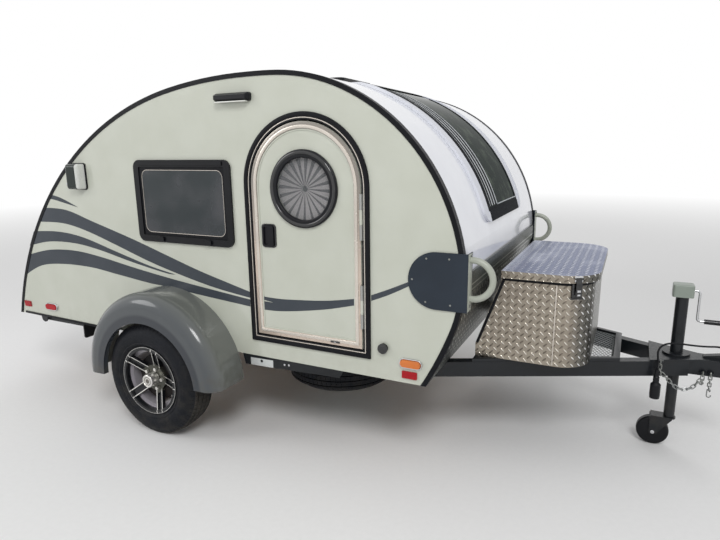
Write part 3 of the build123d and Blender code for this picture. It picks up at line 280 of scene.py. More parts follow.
def sheetPlaces(tree, place):
    # distance along the sheet wrapped round the box's corners, and height; on the lid's top X and Y
    x, y, z = add(tree, "SeparateXYZ", place).outputs
    side = add(tree, "ABSOLUTE", y)
    pastX = add(tree, "MAXIMUM", add(tree, "SUBTRACT", x, boxWrap["x"]), 0.0)
    pastY = add(tree, "MAXIMUM", add(tree, "SUBTRACT", side, boxWrap["y"]), 0.0)
    turn = add(tree, "MULTIPLY", add(tree, "ARCTAN2", pastX, pastY), boxWrap["radius"])
    straight = add(tree, "ADD", add(tree, "MINIMUM", x, boxWrap["x"]), turn)
    along = add(tree, "SUBTRACT", straight, add(tree, "MINIMUM", side, boxWrap["y"]))
    up = add(tree, "SeparateXYZ", add(tree, "NewGeometry").outputs["Normal"]).outputs[2]
    flat = add(tree, "GREATER_THAN", add(tree, "ABSOLUTE", up), 0.7)
    steep = add(tree, "SUBTRACT", 1.0, flat)
    along = add(tree, "ADD", add(tree, "MULTIPLY", flat, x), add(tree, "MULTIPLY", steep, along))
    across = add(tree, "ADD", add(tree, "MULTIPLY", flat, y), add(tree, "MULTIPLY", steep, z))
    return along, across, flat


def lozenges(tree, along, across, pitch, length=0.38, width=0.105):
    # raised bars leaning one way on the corners of a square net, the other way at its middles
    leans = []
    for shift, sign in ((0.0, 1.0), (0.5, -1.0)):
        a, b = (add(tree, "ADD", add(tree, "DIVIDE", line, pitch), shift) for line in (along, across))
        a = add(tree, "SUBTRACT", add(tree, "FRACT", a), 0.5)
        b = add(tree, "MULTIPLY", add(tree, "SUBTRACT", add(tree, "FRACT", b), 0.5), -sign)
        ahead = add(tree, "DIVIDE", add(tree, "ADD", a, b), length * sqrt(2))
        beside = add(tree, "DIVIDE", add(tree, "SUBTRACT", a, b), width * sqrt(2))
        reach = add(tree, "ADD", add(tree, "POWER", ahead, 2.0), add(tree, "POWER", beside, 2.0))
        leans.append(add(tree, "MapRange", reach, 1.0, 0.3))
    return leans


# painted reflection on the box's front: the dark ground it mirrors, with painted highlight and shade on its
# bars
boxFrontReflection = {"from": 0.35, "to": 0.75, "ground": "#6E6C66", "lit": "#FFFFFF", "dim": "#1C1E20"}
# painted reflection on the lid's top: pale near the body, sky blue further out, with painted highlight and
# shade on the bars
lidTopReflection = {"pale": axleX + 1.68, "blue": axleX + 1.80, "ground": "#4C587C", "lit": "#E6E9F5", "dim": "#66729A"}


def treadPlate(name, ground, lit, dim, kind="box", rough=(0.16, 0.34), pitch=0.036):
    # sheet metal with raised bars: painted highlight on the bars that lean one way, painted shade on the
    # others
    material, tree, shader, place = newMaterial(name)
    x, y, z = add(tree, "SeparateXYZ", place).outputs
    along, across, flat = (y, z, None) if kind == "guard" else sheetPlaces(tree, place)
    leanOne, leanTwo = lozenges(tree, along, across, pitch)
    bars = add(tree, "MAXIMUM", leanOne, leanTwo)
    large = add(tree, "TexNoise", place, 5.0, 5.0)
    fine = add(tree, "TexNoise", place, 180.0, 2.0)
    under = add(tree, "Mix RGBA", add(tree, "MapRange", large, 0.3, 0.7), *ground)
    # painted highlight on one set of bars, painted shade on the other
    tint = add(tree, "Mix RGBA", leanTwo, add(tree, "Mix RGBA", leanOne, under, lit), dim)
    if kind != "guard":
        # painted reflection on the front: dark ground between bright bars
        facing = add(tree, "SeparateXYZ", add(tree, "NewGeometry").outputs["Normal"]).outputs[0]
        front = add(tree, "Mix RGBA", leanOne, boxFrontReflection["ground"], boxFrontReflection["lit"])
        front = add(tree, "Mix RGBA", leanTwo, front, boxFrontReflection["dim"])
        share = add(tree, "MapRange", facing, boxFrontReflection["from"], boxFrontReflection["to"])
        tint = add(tree, "Mix RGBA", share, tint, front)
    if kind == "lid":
        # painted reflection on the top: the pale body beside it, and further out the sky
        back = add(tree, "MapRange", x, lidTopReflection["blue"], lidTopReflection["pale"])
        share = add(tree, "MAXIMUM", back, add(tree, "MapRange", large, 0.5, 0.75, 0.0, 0.3))
        paintedLidReflection = add(tree, "Mix RGBA", share, lidTopReflection["ground"], lidTopReflection["lit"])
        top = add(tree, "Mix RGBA", leanOne, paintedLidReflection, lidTopReflection["lit"])
        tint = add(tree, "Mix RGBA", flat, tint, add(tree, "Mix RGBA", leanTwo, top, lidTopReflection["dim"]))
    polish = add(tree, "MapRange", add(tree, "ADD", fine, bars), 0.4, 1.5, rough[1], rough[0])
    relief = add(tree, "Bump", 1.0, 0.0022, Height=bars)
    wire(tree, shader, {"Base Color": tint, "Roughness": polish, "Metallic": 1.0,
                        "Normal": add(tree, "Bump", 0.2, 0.0003, Height=fine, Normal=relief)})
    return material


def banded(name, base, bands, axis=2, metal=0.0, rough=0.35, shine=0.4):
    # a paint with bands of other colours along one axis: each band is low, high, colour, metal
    material, tree, shader, place = newMaterial(name)
    spot = add(tree, "SeparateXYZ", place).outputs[axis]
    fine = add(tree, "TexNoise", place, 120.0, 3.0)
    darker = [c * 0.88 for c in linear(base)[:3]] + [1]
    tint = add(tree, "Mix RGBA", add(tree, "MapRange", fine, 0.3, 0.7), base, darker)
    for low, high, colour, bandMetal in bands:
        inside = add(tree, "GREATER_THAN", spot, low)
        inside = add(tree, "MULTIPLY", inside, add(tree, "LESS_THAN", spot, high))
        tint = add(tree, "Mix RGBA", inside, tint, colour)
        apart = add(tree, "SUBTRACT", bandMetal, metal)
        metal = add(tree, "ADD", add(tree, "MULTIPLY", inside, apart), metal)
    wire(tree, shader, {"Base Color": tint, "Metallic": metal, "Specular IOR Level": shine,
                        "Roughness": add(tree, "MapRange", fine, 0.3, 0.7, rough * 0.7, rough * 1.2),
                        "Normal": add(tree, "Bump", 0.4, 0.0002, Height=fine)})
    return material


def lengthOf(tree, dx, dz):
    return add(tree, "SQRT", add(tree, "ADD", add(tree, "MULTIPLY", dx, dx), add(tree, "MULTIPLY", dz, dz)))


# heights stand out from the face's cone, radii from the axle
rimLook = {"hubFace": 0.040, "flat": 0.070, "slope": 0.3923, "lip": 0.1862, "rib": (0.0176, 0.0224),
           "spokes": 5, "first": 1, "nut": 0.003, "machinedFrom": -0.0012, "pocketFrom": -0.0225,
           "hubEdge": 0.083, "capFrom": 0.045, "disc": 0.013, "line": (0.0215, 0.0022), "barrel": "#A9A5AB",
           "paint": "#0C0E12", "hub": "#4F4F48", "machined": "#E2E0DC", "centre": "#77726B"}


def wheelAlloy(name):
    # machined ribs, lip, nuts and cap; dark gloss pockets; silver grey barrel
    material, tree, shader, place = newMaterial(name)
    x, y, z = add(tree, "SeparateXYZ", place).outputs
    dx, dz = add(tree, "SUBTRACT", x, axleX), add(tree, "SUBTRACT", z, tyreR)
    away = lengthOf(tree, dx, dz)
    out = add(tree, "SUBTRACT", add(tree, "ABSOLUTE", y), wheelY + rimLook["hubFace"])
    past = add(tree, "MAXIMUM", add(tree, "SUBTRACT", away, rimLook["flat"]), 0.0)
    high = add(tree, "SUBTRACT", out, add(tree, "MULTIPLY", past, rimLook["slope"]))
    # distance from the nearest spoke's middle line
    half = pi / rimLook["spokes"]
    angle = add(tree, "SUBTRACT", add(tree, "ARCTAN2", dz, dx), radians(rimLook["first"]))
    swing = add(tree, "SINE", add(tree, "WRAP", angle, half, -half))
    offLine = add(tree, "ABSOLUTE", add(tree, "MULTIPLY", away, swing))
    rib = add(tree, "MULTIPLY", add(tree, "GREATER_THAN", offLine, rimLook["rib"][0]),
              add(tree, "LESS_THAN", offLine, rimLook["rib"][1]))
    rib = add(tree, "MULTIPLY", rib, add(tree, "GREATER_THAN", away, rimLook["flat"]))
    nuts = add(tree, "MULTIPLY", add(tree, "GREATER_THAN", high, rimLook["nut"]),
               add(tree, "LESS_THAN", away, rimLook["flat"]))
    lip = add(tree, "GREATER_THAN", away, rimLook["lip"])
    bright = add(tree, "MAXIMUM", add(tree, "MAXIMUM", rib, lip), nuts)
    bright = add(tree, "MULTIPLY", bright, add(tree, "GREATER_THAN", high, rimLook["machinedFrom"]))
    face = add(tree, "GREATER_THAN", high, rimLook["pocketFrom"])
    hub = add(tree, "MULTIPLY", face, add(tree, "LESS_THAN", away, rimLook["hubEdge"]))
    tint = add(tree, "Mix RGBA", face, rimLook["barrel"], rimLook["paint"])
    tint = add(tree, "Mix RGBA", hub, tint, rimLook["hub"])
    tint = add(tree, "Mix RGBA", bright, tint, rimLook["machined"])
    # plain darker disc and line in the cap
    disc = add(tree, "MAXIMUM", add(tree, "LESS_THAN", away, rimLook["disc"]),
               add(tree, "COMPARE", away, *rimLook["line"]))
    disc = add(tree, "MULTIPLY", add(tree, "GREATER_THAN", high, rimLook["capFrom"]), disc)
    tint = add(tree, "Mix RGBA", disc, tint, rimLook["centre"])
    bare = add(tree, "MULTIPLY", add(tree, "SUBTRACT", 1.0, face), 0.25)
    metal = add(tree, "MAXIMUM", add(tree, "MULTIPLY", bright, 0.85), bare)
    metal = add(tree, "MAXIMUM", metal, add(tree, "MULTIPLY", hub, 0.6))
    # fine rings left by the lathe
    rings = add(tree, "TexNoise", add(tree, "CombineXYZ", away), 900.0, 2.0)
    polish = add(tree, "MapRange", add(tree, "MULTIPLY", bright, rings), 0.0, 0.7, 0.34, 0.2)
    wire(tree, shader, {"Base Color": tint, "Metallic": metal, "Roughness": polish,
                        "Normal": add(tree, "Bump", 0.2, 0.0001, Height=rings)})
    return material


# the top colour is painted light; the side's flat and the band round the arch are painted shade
fenderLook = {"x": 0.015, "z": 0.320, "arch": 0.328, "band": 0.040, "side": (1.005, 1.075),
              "dirt": (0.52, 0.28), "crest": "#6B6E6A", "flat": "#4E5255", "dark": "#34383E",
              "dust": "#524F48"}


def fenderGloss(name):
    # grey gloss with painted shade: darker on the side's flat, a dark band round the arch; road dirt low down
    material, tree, shader, place = newMaterial(name)
    x, y, z = add(tree, "SeparateXYZ", place).outputs
    away = lengthOf(tree, add(tree, "SUBTRACT", x, axleX + fenderLook["x"]),
                    add(tree, "SUBTRACT", z, fenderLook["z"]))
    # painted shade on the side's flat and round the arch, the top left lighter
    side = add(tree, "MapRange", add(tree, "ABSOLUTE", y), *fenderLook["side"])
    ringEdge = fenderLook["arch"] + fenderLook["band"]
    band = add(tree, "MULTIPLY", side, add(tree, "MapRange", away, ringEdge + 0.012, ringEdge - 0.004))
    tint = add(tree, "Mix RGBA", side, fenderLook["crest"], fenderLook["flat"])
    tint = add(tree, "Mix RGBA", band, tint, fenderLook["dark"])
    speck = add(tree, "MapRange", add(tree, "TexNoise", place, 22.0, 6.0), 0.4, 0.7)
    low = add(tree, "MULTIPLY", add(tree, "MapRange", z, *fenderLook["dirt"], 0.0, 0.7), speck)
    fine = add(tree, "TexNoise", place, 40.0, 3.0)
    wire(tree, shader, {"Base Color": add(tree, "Mix RGBA", low, tint, fenderLook["dust"]),
                        "Roughness": add(tree, "MapRange", fine, 0.3, 0.7, 0.13, 0.22),
                        "Normal": add(tree, "Bump", 0.4, 0.0001, Height=fine),
                        "Specular IOR Level": 0.3, "Coat Weight": 0.35, "Coat Roughness": 0.06})
    return material


def frameRim(name, foot, head, low=0.95, high=1.40):
    # flat aluminium rim with a painted reflection: warm and bright near the ground, grey up in the arch
    material, tree, shader, place = newMaterial(name)
    height = add(tree, "SeparateXYZ", place).outputs[2]
    drift = add(tree, "TexNoise", place, 9.0, 2.0)
    # painted reflection: colour from the warm foot to the grey head with height
    upper = add(tree, "ADD", add(tree, "MapRange", height, low, high),
                add(tree, "MapRange", drift, 0.3, 0.7, -0.12, 0.12))
    wire(tree, shader, {"Base Color": add(tree, "Mix RGBA", upper, foot, head), "Metallic": 0.5,
                        "Roughness": add(tree, "MapRange", drift, 0.3, 0.7, 0.24, 0.32),
                        "Normal": add(tree, "Bump", 0.2, 0.0001, Height=drift)})
    return material


def glass(name, colour, alpha, second=None, shine=0.5, cloud=(7.0, 0.2, 0.8)):
    # tinted pane, seen through; the second colour is a painted reflection in soft clouds; cloud is the noise's
    # scale, and where the second colour starts and ends in it
    material, tree, shader, place = newMaterial(name)
    smear = add(tree, "TexNoise", place, cloud[0], 3.0)
    tint = colour
    if second:
        # painted reflection: the second colour in soft clouds
        tint = add(tree, "Mix RGBA", add(tree, "MapRange", smear, *cloud[1:]), colour, second)
    wire(tree, shader, {"Base Color": tint, "Roughness": add(tree, "MapRange", smear, 0.3, 0.8, 0.03, 0.075),
                        "Alpha": alpha, "Specular IOR Level": shine,
                        "Normal": add(tree, "Bump", 0.1, 0.0005, Height=smear)})
    return material


# the pale colour beyond the dark part is partly the roof's white, partly a painted highlight along the roof's
# edge
margin = {"half": 0.340, "blur": 0.0005, "colour": "#DFE1E8"}  # half width of the nose window's dark part


def paleMargin(material):
    # painted like the roof beside the dark part: partly the roof's white, partly a painted highlight along the
    # roof's edge
    tree = material.node_tree
    shader = tree.nodes["Principled BSDF"]
    y = add(tree, "SeparateXYZ", add(tree, "TexCoord").outputs["Object"]).outputs[1]
    beyond = add(tree, "MapRange", add(tree, "ABSOLUTE", y), margin["half"] - margin["blur"],
                 margin["half"] + margin["blur"])
    inner = shader.inputs["Base Color"].links[0].from_socket
    wire(tree, shader, {"Base Color": add(tree, "Mix RGBA", beyond, inner, margin["colour"])})
    alpha = shader.inputs["Alpha"].default_value
    if alpha < 1:
        wire(tree, shader, {"Alpha": add(tree, "MapRange", beyond, 0.0, 1.0, alpha, 1.0)})
    return material


# walls and roof: sprayed gloss skins, which mirror softly and gather dust near the ground
wallGel = plain("gloss wall skin", "#C3C6BA", "#BEC1B4", rough=(0.10, 0.16), grain=30, bump=0.00006, coat=0.6,
                dirt="#A5A294", dirtTop=0.62)
roofGel = plain("white roof skin", "#E0E2E9", "#DADCE4", rough=(0.12, 0.2), grain=30, bump=0.00006, coat=0.6)
# rubber, vinyl and moulded plastic: near black, dull to satin, with a fine grain
blackTrim = plain("black rubber trim", "#0E0F13", "#15161A", rough=(0.35, 0.55), grain=150, shine=0.15)
blackPlastic = plain("black moulded plastic", "#0C0D11", "#121318", rough=(0.28, 0.42), grain=260, shine=0.25)
gloss = plain("gloss black bead", "#101113", "#17181A", rough=(0.08, 0.16), grain=90, bump=0.00005, coat=0.6)
borderBlack = plain("black pane border", "#121418", "#171A1E", rough=(0.3, 0.45), grain=120, shine=0.004)
sealBlack = paleMargin(plain("nose window seal", "#14171C", "#191C21", rough=(0.3, 0.45), grain=120,
                             shine=0.004))
# rolled and brushed metal: bright; the polished ones warm from a painted reflection of the ground
polished = plain("polished aluminium bead", "#DDD5CB", "#D0C8BE", metal=0.6, rough=(0.22, 0.28), grain=14,
                 bump=0.00002)
rimMetal = frameRim("polished aluminium frame", "#D2C2B4", "#8E8982")
brushed = plain("brushed hinge steel", "#B4B5B2", "#A5A6A3", metal=1.0, rough=(0.22, 0.38), grain=120,
                stretch=(1, 1, 0.1))
# rolled aluminium tread plate: every second bar has a painted highlight, the others painted shade
guardPlate = treadPlate("nose tread plate", ("#646764", "#565956"), "#EDEFEA", "#232524", kind="guard",
                        rough=(0.2, 0.4), pitch=0.046)
boxPlate = treadPlate("box tread plate", ("#A69D90", "#978E82"), "#E4DED2", "#857C70")
lidPlate = treadPlate("lid tread plate", ("#A69D90", "#978E82"), "#E4DED2", "#857C70", kind="lid")
# tinted acrylic panes: dark, with soft clouds of painted reflection of the garden
tinted = glass("tinted window", "#30373A", 0.90, second="#59585C", shine=0.4, cloud=(3.2, 0.42, 0.78))
noseTint = paleMargin(glass("dark nose window", "#1E2A26", 0.97, second="#525D50", shine=0.004,
                            cloud=(13.0, 0.5, 0.85)))
paleGlass = glass("pale porthole pane", "#8A8E90", 0.22)
# bright lines on the nose pane: painted reflections
paintedReflectionLine = plain("pale pane line", "#B9BEC1", "#AEB3B7", rough=(0.3, 0.4), grain=60, shine=0.1)
# varnished plywood: warm, with its grain along the sheet
plywood = plain("varnished plywood", "#A98658", "#8F6E45", rough=(0.35, 0.55), grain=40, stretch=(1, 6, 6))
# sprayed gloss on moulded fenders: grey, mirroring softly, with painted shade on the side and round the arch
fenderPaint = fenderGloss("grey fender gloss")
# tyres: dull black rubber, dusty brown where it meets the road
tyreRubber = plain("tyre rubber", "#090C13", "#0F1219", rough=(0.55, 0.8), grain=180, bump=0.0004,
                   dirt="#2E2C29", dirtTop=0.6, shine=0.25)
treadDust = plain("dusty tread rubber", "#2B2A29", "#3C3935", rough=(0.7, 0.9), grain=160, bump=0.0004,
                  blotch=14, shine=0.2)
# cast alloy, machined bright over dark gloss pockets; and rusty cast iron behind it
alloy = wheelAlloy("machined and painted alloy")
drumIron = plain("brake drum iron", "#1F1E20", "#2B2624", rough=(0.6, 0.85), grain=90, bump=0.0006, shine=0.3)
# sprayed and powder-coated steel: satin, dusty low down
framePaint = plain("black frame paint", "#0D1014", "#14181D", rough=(0.32, 0.5), grain=120, coat=0.15,
                   dirt="#2E2B27", dirtTop=0.4, shine=0.35)
slatePaint = plain("slate corner plate", "#2A323C", "#262D36", rough=(0.3, 0.45), grain=200, bump=0.0004,
                   shine=0.25)
greyCoat = plain("light grey coat", "#A9ADA2", "#A0A499", rough=(0.28, 0.42), grain=160, bump=0.0003)
capCoat = plain("grey jack cap", "#8A938A", "#828B82", rough=(0.28, 0.42), grain=160, bump=0.0003)
plateWhite = plain("white blank plate", "#C9CCCB", "#BCBFBE", rough=(0.3, 0.5), grain=90)
# zinc and chrome plating: bright, the zinc matt and spangled, the chrome mirror-like
zincSteel = plain("zinc plated steel", "#9A9C9C", "#85877F", metal=1.0, rough=(0.3, 0.5), grain=80)
meshSteel = plain("expanded steel mesh", "#8B8F90", "#777B7C", metal=0.4, rough=(0.35, 0.5), grain=120)
chromeSteel = plain("chromed steel", "#D5D6D8", "#C5C6C8", metal=1.0, rough=(0.06, 0.14), grain=60)
# moulded lenses: deep colour under a clear gloss
redLens = plain("red lens", "#B01420", "#98101A", rough=(0.16, 0.26), grain=120, coat=0.1, shine=0.2)
amberLens = plain("amber lens", "#D9730F", "#C4620A", rough=(0.12, 0.22), grain=120, coat=0.8)
lens = plain("porch lamp lens", "#ECEDE8", "#E2E3DD", rough=(0.25, 0.4), grain=200, coat=0.3)
# woven cloth: matt, with a fine weave; the second shade cloth is painted shadow in the steep fold of each
# pleat
coverCloth = plain("mattress cloth", "#8C8E93", "#7F8186", rough=(0.8, 0.95), grain=420, bump=0.0008)
shadeCloth = plain("pleated shade cloth", "#B4AEAE", "#9A9494", rough=(0.8, 0.95), grain=520, bump=0.0006)
paintedFoldShadow = plain("shaded fold of the cloth", "#3E373C", "#342E33", rough=(0.8, 0.95), grain=520, bump=0.0006)
# cast vinyl foil: flat slate colour under a thin gloss
foil = plain("slate stripe foil", "#42474E", "#3B4148", rough=(0.16, 0.24), grain=40, bump=0.00006, coat=0.12,
             shine=0.2)
# the bar over the guard: dark band with two bright beads along it
barPaint = banded("dark bar with bright beads", "#3A3F3C", ((0.9500, 0.9560, "#B9BCB8", 1.0),
                                                            (0.9260, 0.9330, "#9FA29E", 1.0)))
# plated crank with a black grip at its end
crankFinish = banded("plated crank and grip", "#C9CACC", ((axleX + 2.6215, axleX + 2.75, "#101114", 0.0),),
                     axis=0, metal=1.0, rough=0.22)
# painted dark reflection on the hood's front, its cheek pale
hoodPlastic = banded("two-tone hood plastic", "#D9DBD6", ((axleX - 0.70, axleX - 0.576, "#1C2622", 0.0),),
                     axis=0, rough=0.16, shine=0.3)

nodeFinish = {
    wallGel: "side_wall_right side_wall_left door_right door_left",
    roofGel: "roof_shell hatch rear_sill",
    blackTrim: "edge_trims",
    sealBlack: "nose_seal",
    blackPlastic: "window_frames porch_lamps power_inlet door_fittings_right door_fittings_left roof_fan "
                  "caster_wheel door_frames tow_plug",
    barPaint: "nose_bar",
    brushed: "hinges",
    guardPlate: "stone_guard",
    boxPlate: "tongue_box",
    lidPlate: "box_lid",
    tinted: "window_panes",
    paleGlass: "porthole_pane_right porthole_pane_left",
    noseTint: "nose_window",
    plywood: "floor bulkhead galley_cabinet",
    fenderPaint: "fender_right fender_left",
    alloy: "rim_right rim_left",
    drumIron: "brake_drum_right brake_drum_left",
    framePaint: "axle chassis_rails cross_members coupler jack_tube jack_leg caster_fork "
                "stabiliser_leg_right stabiliser_leg_left",
    slatePaint: "corner_plates",
    greyCoat: "grab_handles spare_rim",
    capCoat: "jack_head",
    zincSteel: "safety_chains",
    crankFinish: "jack_crank",
    redLens: "red_lamps",
    amberLens: "amber_markers",
    hoodPlastic: "vent_hood",
}
for material, names in nodeFinish.items():
    for name in names.split():
        nodes[name].data.materials.clear()
        nodes[name].data.materials.append(material)
print("materials on the nodes")


# Camera, floor and light

photoView = {"x": 2.2599, "y": -3.0302, "z": 1.5298, "azimuth": 26.3522, "pitch": 12.5045, "roll": -0.7532,
             "lens": 27.5315}
bpy.ops.object.camera_add()
camera = newest("camera")
azimuth, pitch, roll = (radians(photoView[key]) for key in ("azimuth", "pitch", "roll"))
level = Vector((-sin(azimuth), cos(azimuth), 0))
sideways = Vector((cos(azimuth), sin(azimuth), 0))
ahead = level * cos(pitch) - Vector((0, 0, sin(pitch)))
above = Vector((0, 0, cos(pitch))) + level * sin(pitch)
right = sideways * cos(roll) + above * sin(roll)
top = above * cos(roll) - sideways * sin(roll)
camera.matrix_world = Matrix((right, top, -ahead)).transposed().to_4x4()
camera.location = at(photoView["x"], photoView["y"], photoView["z"])
camera.data.sensor_width = 36
camera.data.lens = photoView["lens"]
camera.data.clip_start = 0.05
bpy.context.scene.camera = camera

# the floor fades to the white background; lamps: place, width, watts, seen in mirrors
studio = {"floor": 60, "fade": (4.0, 16.0), "sky": (0.52, 1.0), "aim": (-0.2, 0, 0.8),
          "lamps": {"key": ((3.0, -5.0, 5.5), 2.4, 200, True), "fill": ((-4.5, -4.0, 3.5), 2.6, 70, True),
                    "back": ((-2.0, 5.0, 4.5), 4.5, 60, False)}}


def seenRays(tree):
    # 1 where the camera sees it, itself or through a mirror or a pane
    rays = add(tree, "LightPath").outputs
    return add(tree, "MAXIMUM", rays["Is Camera Ray"],
               add(tree, "MAXIMUM", rays["Is Glossy Ray"], rays["Is Transmission Ray"]))


clearAll()
bpy.ops.mesh.primitive_circle_add(vertices=96, radius=studio["floor"], fill_type="NGON")
floor = newest("floorGround")
ground, tree, shader, place = newMaterial("pale studio floor")
speckle = add(tree, "TexNoise", place, 40.0, 4.0)
wire(tree, shader, {"Base Color": add(tree, "Mix RGBA", speckle, "#ECECEC", "#F2F2F2"), "Roughness": 0.9})
fade = add(tree, "MapRange", add(tree, "VectorMath LENGTH", place), *studio["fade"])
blend = add(tree, "MixShader", add(tree, "MULTIPLY", fade, seenRays(tree)), shader,
            add(tree, "Emission", "#FFFFFF", 1.0))
wire(tree, tree.nodes["Material Output"], {"Surface": blend})
floor.data.materials.append(ground)

world = bpy.data.worlds.new("studio")
bpy.context.scene.world = world
world.use_nodes = True
tree = world.node_tree
strength = add(tree, "MapRange", seenRays(tree), 0.0, 1.0, *studio["sky"])
wire(tree, tree.nodes["Background"], {"Color": "#FFFFFF", "Strength": strength})

for name, (place, width, power, inMirrors) in studio["lamps"].items():
    bpy.ops.object.light_add(type="AREA", location=place)
    light = newest(name)
    light.data.energy = power
    light.data.shape = "DISK"
    light.data.size = width
    light.visible_glossy = inMirrors
    light.rotation_euler = (Vector(studio["aim"]) - Vector(place)).to_track_quat("-Z", "Y").to_euler()
print("camera and studio ready")


# Lighting cord: out of its gland, over the coupler and down to its plug; points from the jack's X, in mm

towLead = {"jack": 2.520, "length": 0.490, "diameter": 0.009,
           "route": ((232, -42, 513), (232, -42, 548), (206, -58, 576), (166, -72, 588), (110, -90, 586),
                     (48, -102, 588), (-14, -108, 592), (-66, -122, 584), (-90, -146, 556), (-84, -165, 512),
                     (-84, -165, 466))}
clearAll()
bpy.ops.curve.primitive_nurbs_path_add()
lead = newest("tow_lead")
route = lead.data.splines[0]
route.points.add(len(towLead["route"]) - len(route.points))
for spot, (x, y, z) in zip(route.points, towLead["route"]):
    spot.co = (axleX + towLead["jack"] + x / 1000, y / 1000, z / 1000, 1)
route.order_u = 3
route.use_endpoint_u = True
route.resolution_u = 12
lead.data.bevel_depth = towLead["diameter"] / 2
lead.data.bevel_resolution = 4
lead.data.use_fill_caps = True
finishPiece(lead, blackTrim, instead=("tow_cord",))
print("cord laid")


# Mattress: crowned pad with sewn channels and piping, swollen by a cloth simulation

pad = {"line": ((-0.412, 0.5370), (1.484, 0.5370), (1.530, 0.648), (-0.412, 0.648)), "half": 0.804,
       "floor": 0.5358, "voxel": 0.026, "pressure": 4, "frames": 20, "swell": 0.010, "channel": 0.27,
       "groove": 0.007, "across": 0.030, "top": 0.64, "seam": 0.630, "piping": 0.0035}
mattress = slab("mattress_cover", [at(x, -pad["half"], z) for x, z in pad["line"]], (0, 2 * pad["half"], 0))
remesh = mattress.modifiers.new("Remesh", "REMESH")
remesh.mode = "VOXEL"
remesh.voxel_size = pad["voxel"]
bpy.ops.object.modifier_apply(modifier=remesh.name)
starts = [vertex.co.copy() for vertex in mattress.data.vertices]
cloth = mattress.modifiers.new("Cloth", "CLOTH")
cloth.settings.use_pressure = True
cloth.settings.uniform_pressure_force = pad["pressure"]
cloth.settings.effector_weights.gravity = 0
for step in range(1, pad["frames"] + 1):
    bpy.context.scene.frame_set(step)
bpy.ops.object.modifier_apply(modifier=cloth.name)
bpy.context.scene.frame_set(1)
for vertex, place in zip(mattress.data.vertices, starts):
    move = vertex.co - place
    if move.length > pad["swell"]:
        vertex.co = place + move * (pad["swell"] / move.length)
for vertex in mattress.data.vertices:
    vertex.co.z = max(vertex.co.z, pad["floor"])
soften = mattress.modifiers.new("Subdivision", "SUBSURF")
soften.levels = 1
soften.render_levels = 1
bpy.ops.object.modifier_apply(modifier=soften.name)
for vertex in mattress.data.vertices:
    # sewn channels across the top
    beside = abs((vertex.co.x - axleX - pad["line"][0][0]) % pad["channel"] - pad["channel"] / 2)
    if vertex.co.z > pad["top"] and beside < pad["across"]:
        vertex.co.z -= pad["groove"] * (0.5 + 0.5 * cos(pi * beside / pad["across"]))
smoothBy(mattress, 60)
piping = copyOf(mattress, "mattress_piping")
editAll(piping)
bpy.ops.mesh.bisect(plane_co=(0, 0, pad["seam"]), plane_no=(0, 0, 1), clear_inner=True, clear_outer=True)
bpy.ops.object.mode_set(mode="OBJECT")
bpy.ops.object.convert(target="CURVE")
piping.data.bevel_depth = pad["piping"]
piping.data.bevel_resolution = 2
bpy.ops.object.convert(target="MESH")
finishPiece(mattress, coverCloth, instead=("mattress",))
finishPiece(piping, blackTrim)
print("mattress made")


# Tyres: grooved and siped tread, rim guard and fine rings on the sidewall; across the tread, then radius

tread = {"side": ((0.0785, 0.1785), (0.0785, 0.1925), (0.0845, 0.1990), (0.0905, 0.2060), (0.0925, 0.2110),
                  (0.0905, 0.2150), (0.0945, 0.2260), (0.0970, 0.2400), (0.0958, 0.2440), (0.0964, 0.2490),
                  (0.0935, 0.2640), (0.0922, 0.2665), (0.0912, 0.2700), (0.0800, 0.2860), (0.0640, 0.3070)),
         "half": 0.062, "crown": 0.007, "grooves": (0.0465, 0.0155, -0.0155, -0.0465), "width": 0.006,
         "depth": 0.008, "wall": 0.001, "groups": 72, "offsets": (0, 0.035, 0.075, 0.11, 0.55), "skew": 0.45,
         "notch": 0.005, "sipe": 0.0025, "shoulder": 0.0495, "reach": (0.005, 0.006), "dustFrom": 0.300,
         "spare": (0.0309, -0.290, 0.3025)}


def crownAt(a):
    return tyreR - tread["crown"] * (a / tread["half"]) ** 2


def treadedTyre(name, centre):
    edge = crownAt(tread["half"])
    over = [(tread["half"], edge)]
    wide, depth = tread["width"] / 2, tread["depth"]
    for groove in tread["grooves"]:
        for a, drop in ((wide, 0), (wide - tread["wall"], depth), (tread["wall"] - wide, depth), (-wide, 0)):
            over.append((groove + a, crownAt(groove + a) - drop))
    over.append((-tread["half"], edge))
    section = list(tread["side"]) + over + [(-a, r) for a, r in tread["side"][::-1]]
    points = [(centre[0], centre[1] + a, centre[2] - r) for a, r in section]
    columns = tread["groups"] * len(tread["offsets"])
    tyre = lathe(name, points, centre, steps=columns)
    for vertex in tyre.data.vertices:
        dx, a, dz = vertex.co - Vector(centre)
        away = sqrt(dx * dx + dz * dz)
        group, step = divmod(round(atan2(dz, dx) / (2 * pi) * columns), len(tread["offsets"]))
        turn = group + tread["offsets"][step] + tread["skew"] * abs(a) / tread["half"]
        turn = 2 * pi * turn / tread["groups"]
        onTread = away > min(crownAt(a), edge) - tread["reach"][0] and away > crownAt(a) - tread["reach"][1]
        if step in (1, 2) and onTread:
            away -= tread["notch"] if abs(a) > tread["shoulder"] else tread["sipe"]
        vertex.co.x = centre[0] + away * cos(turn)
        vertex.co.z = centre[2] + away * sin(turn)
    return smoothBy(tyre, 40)


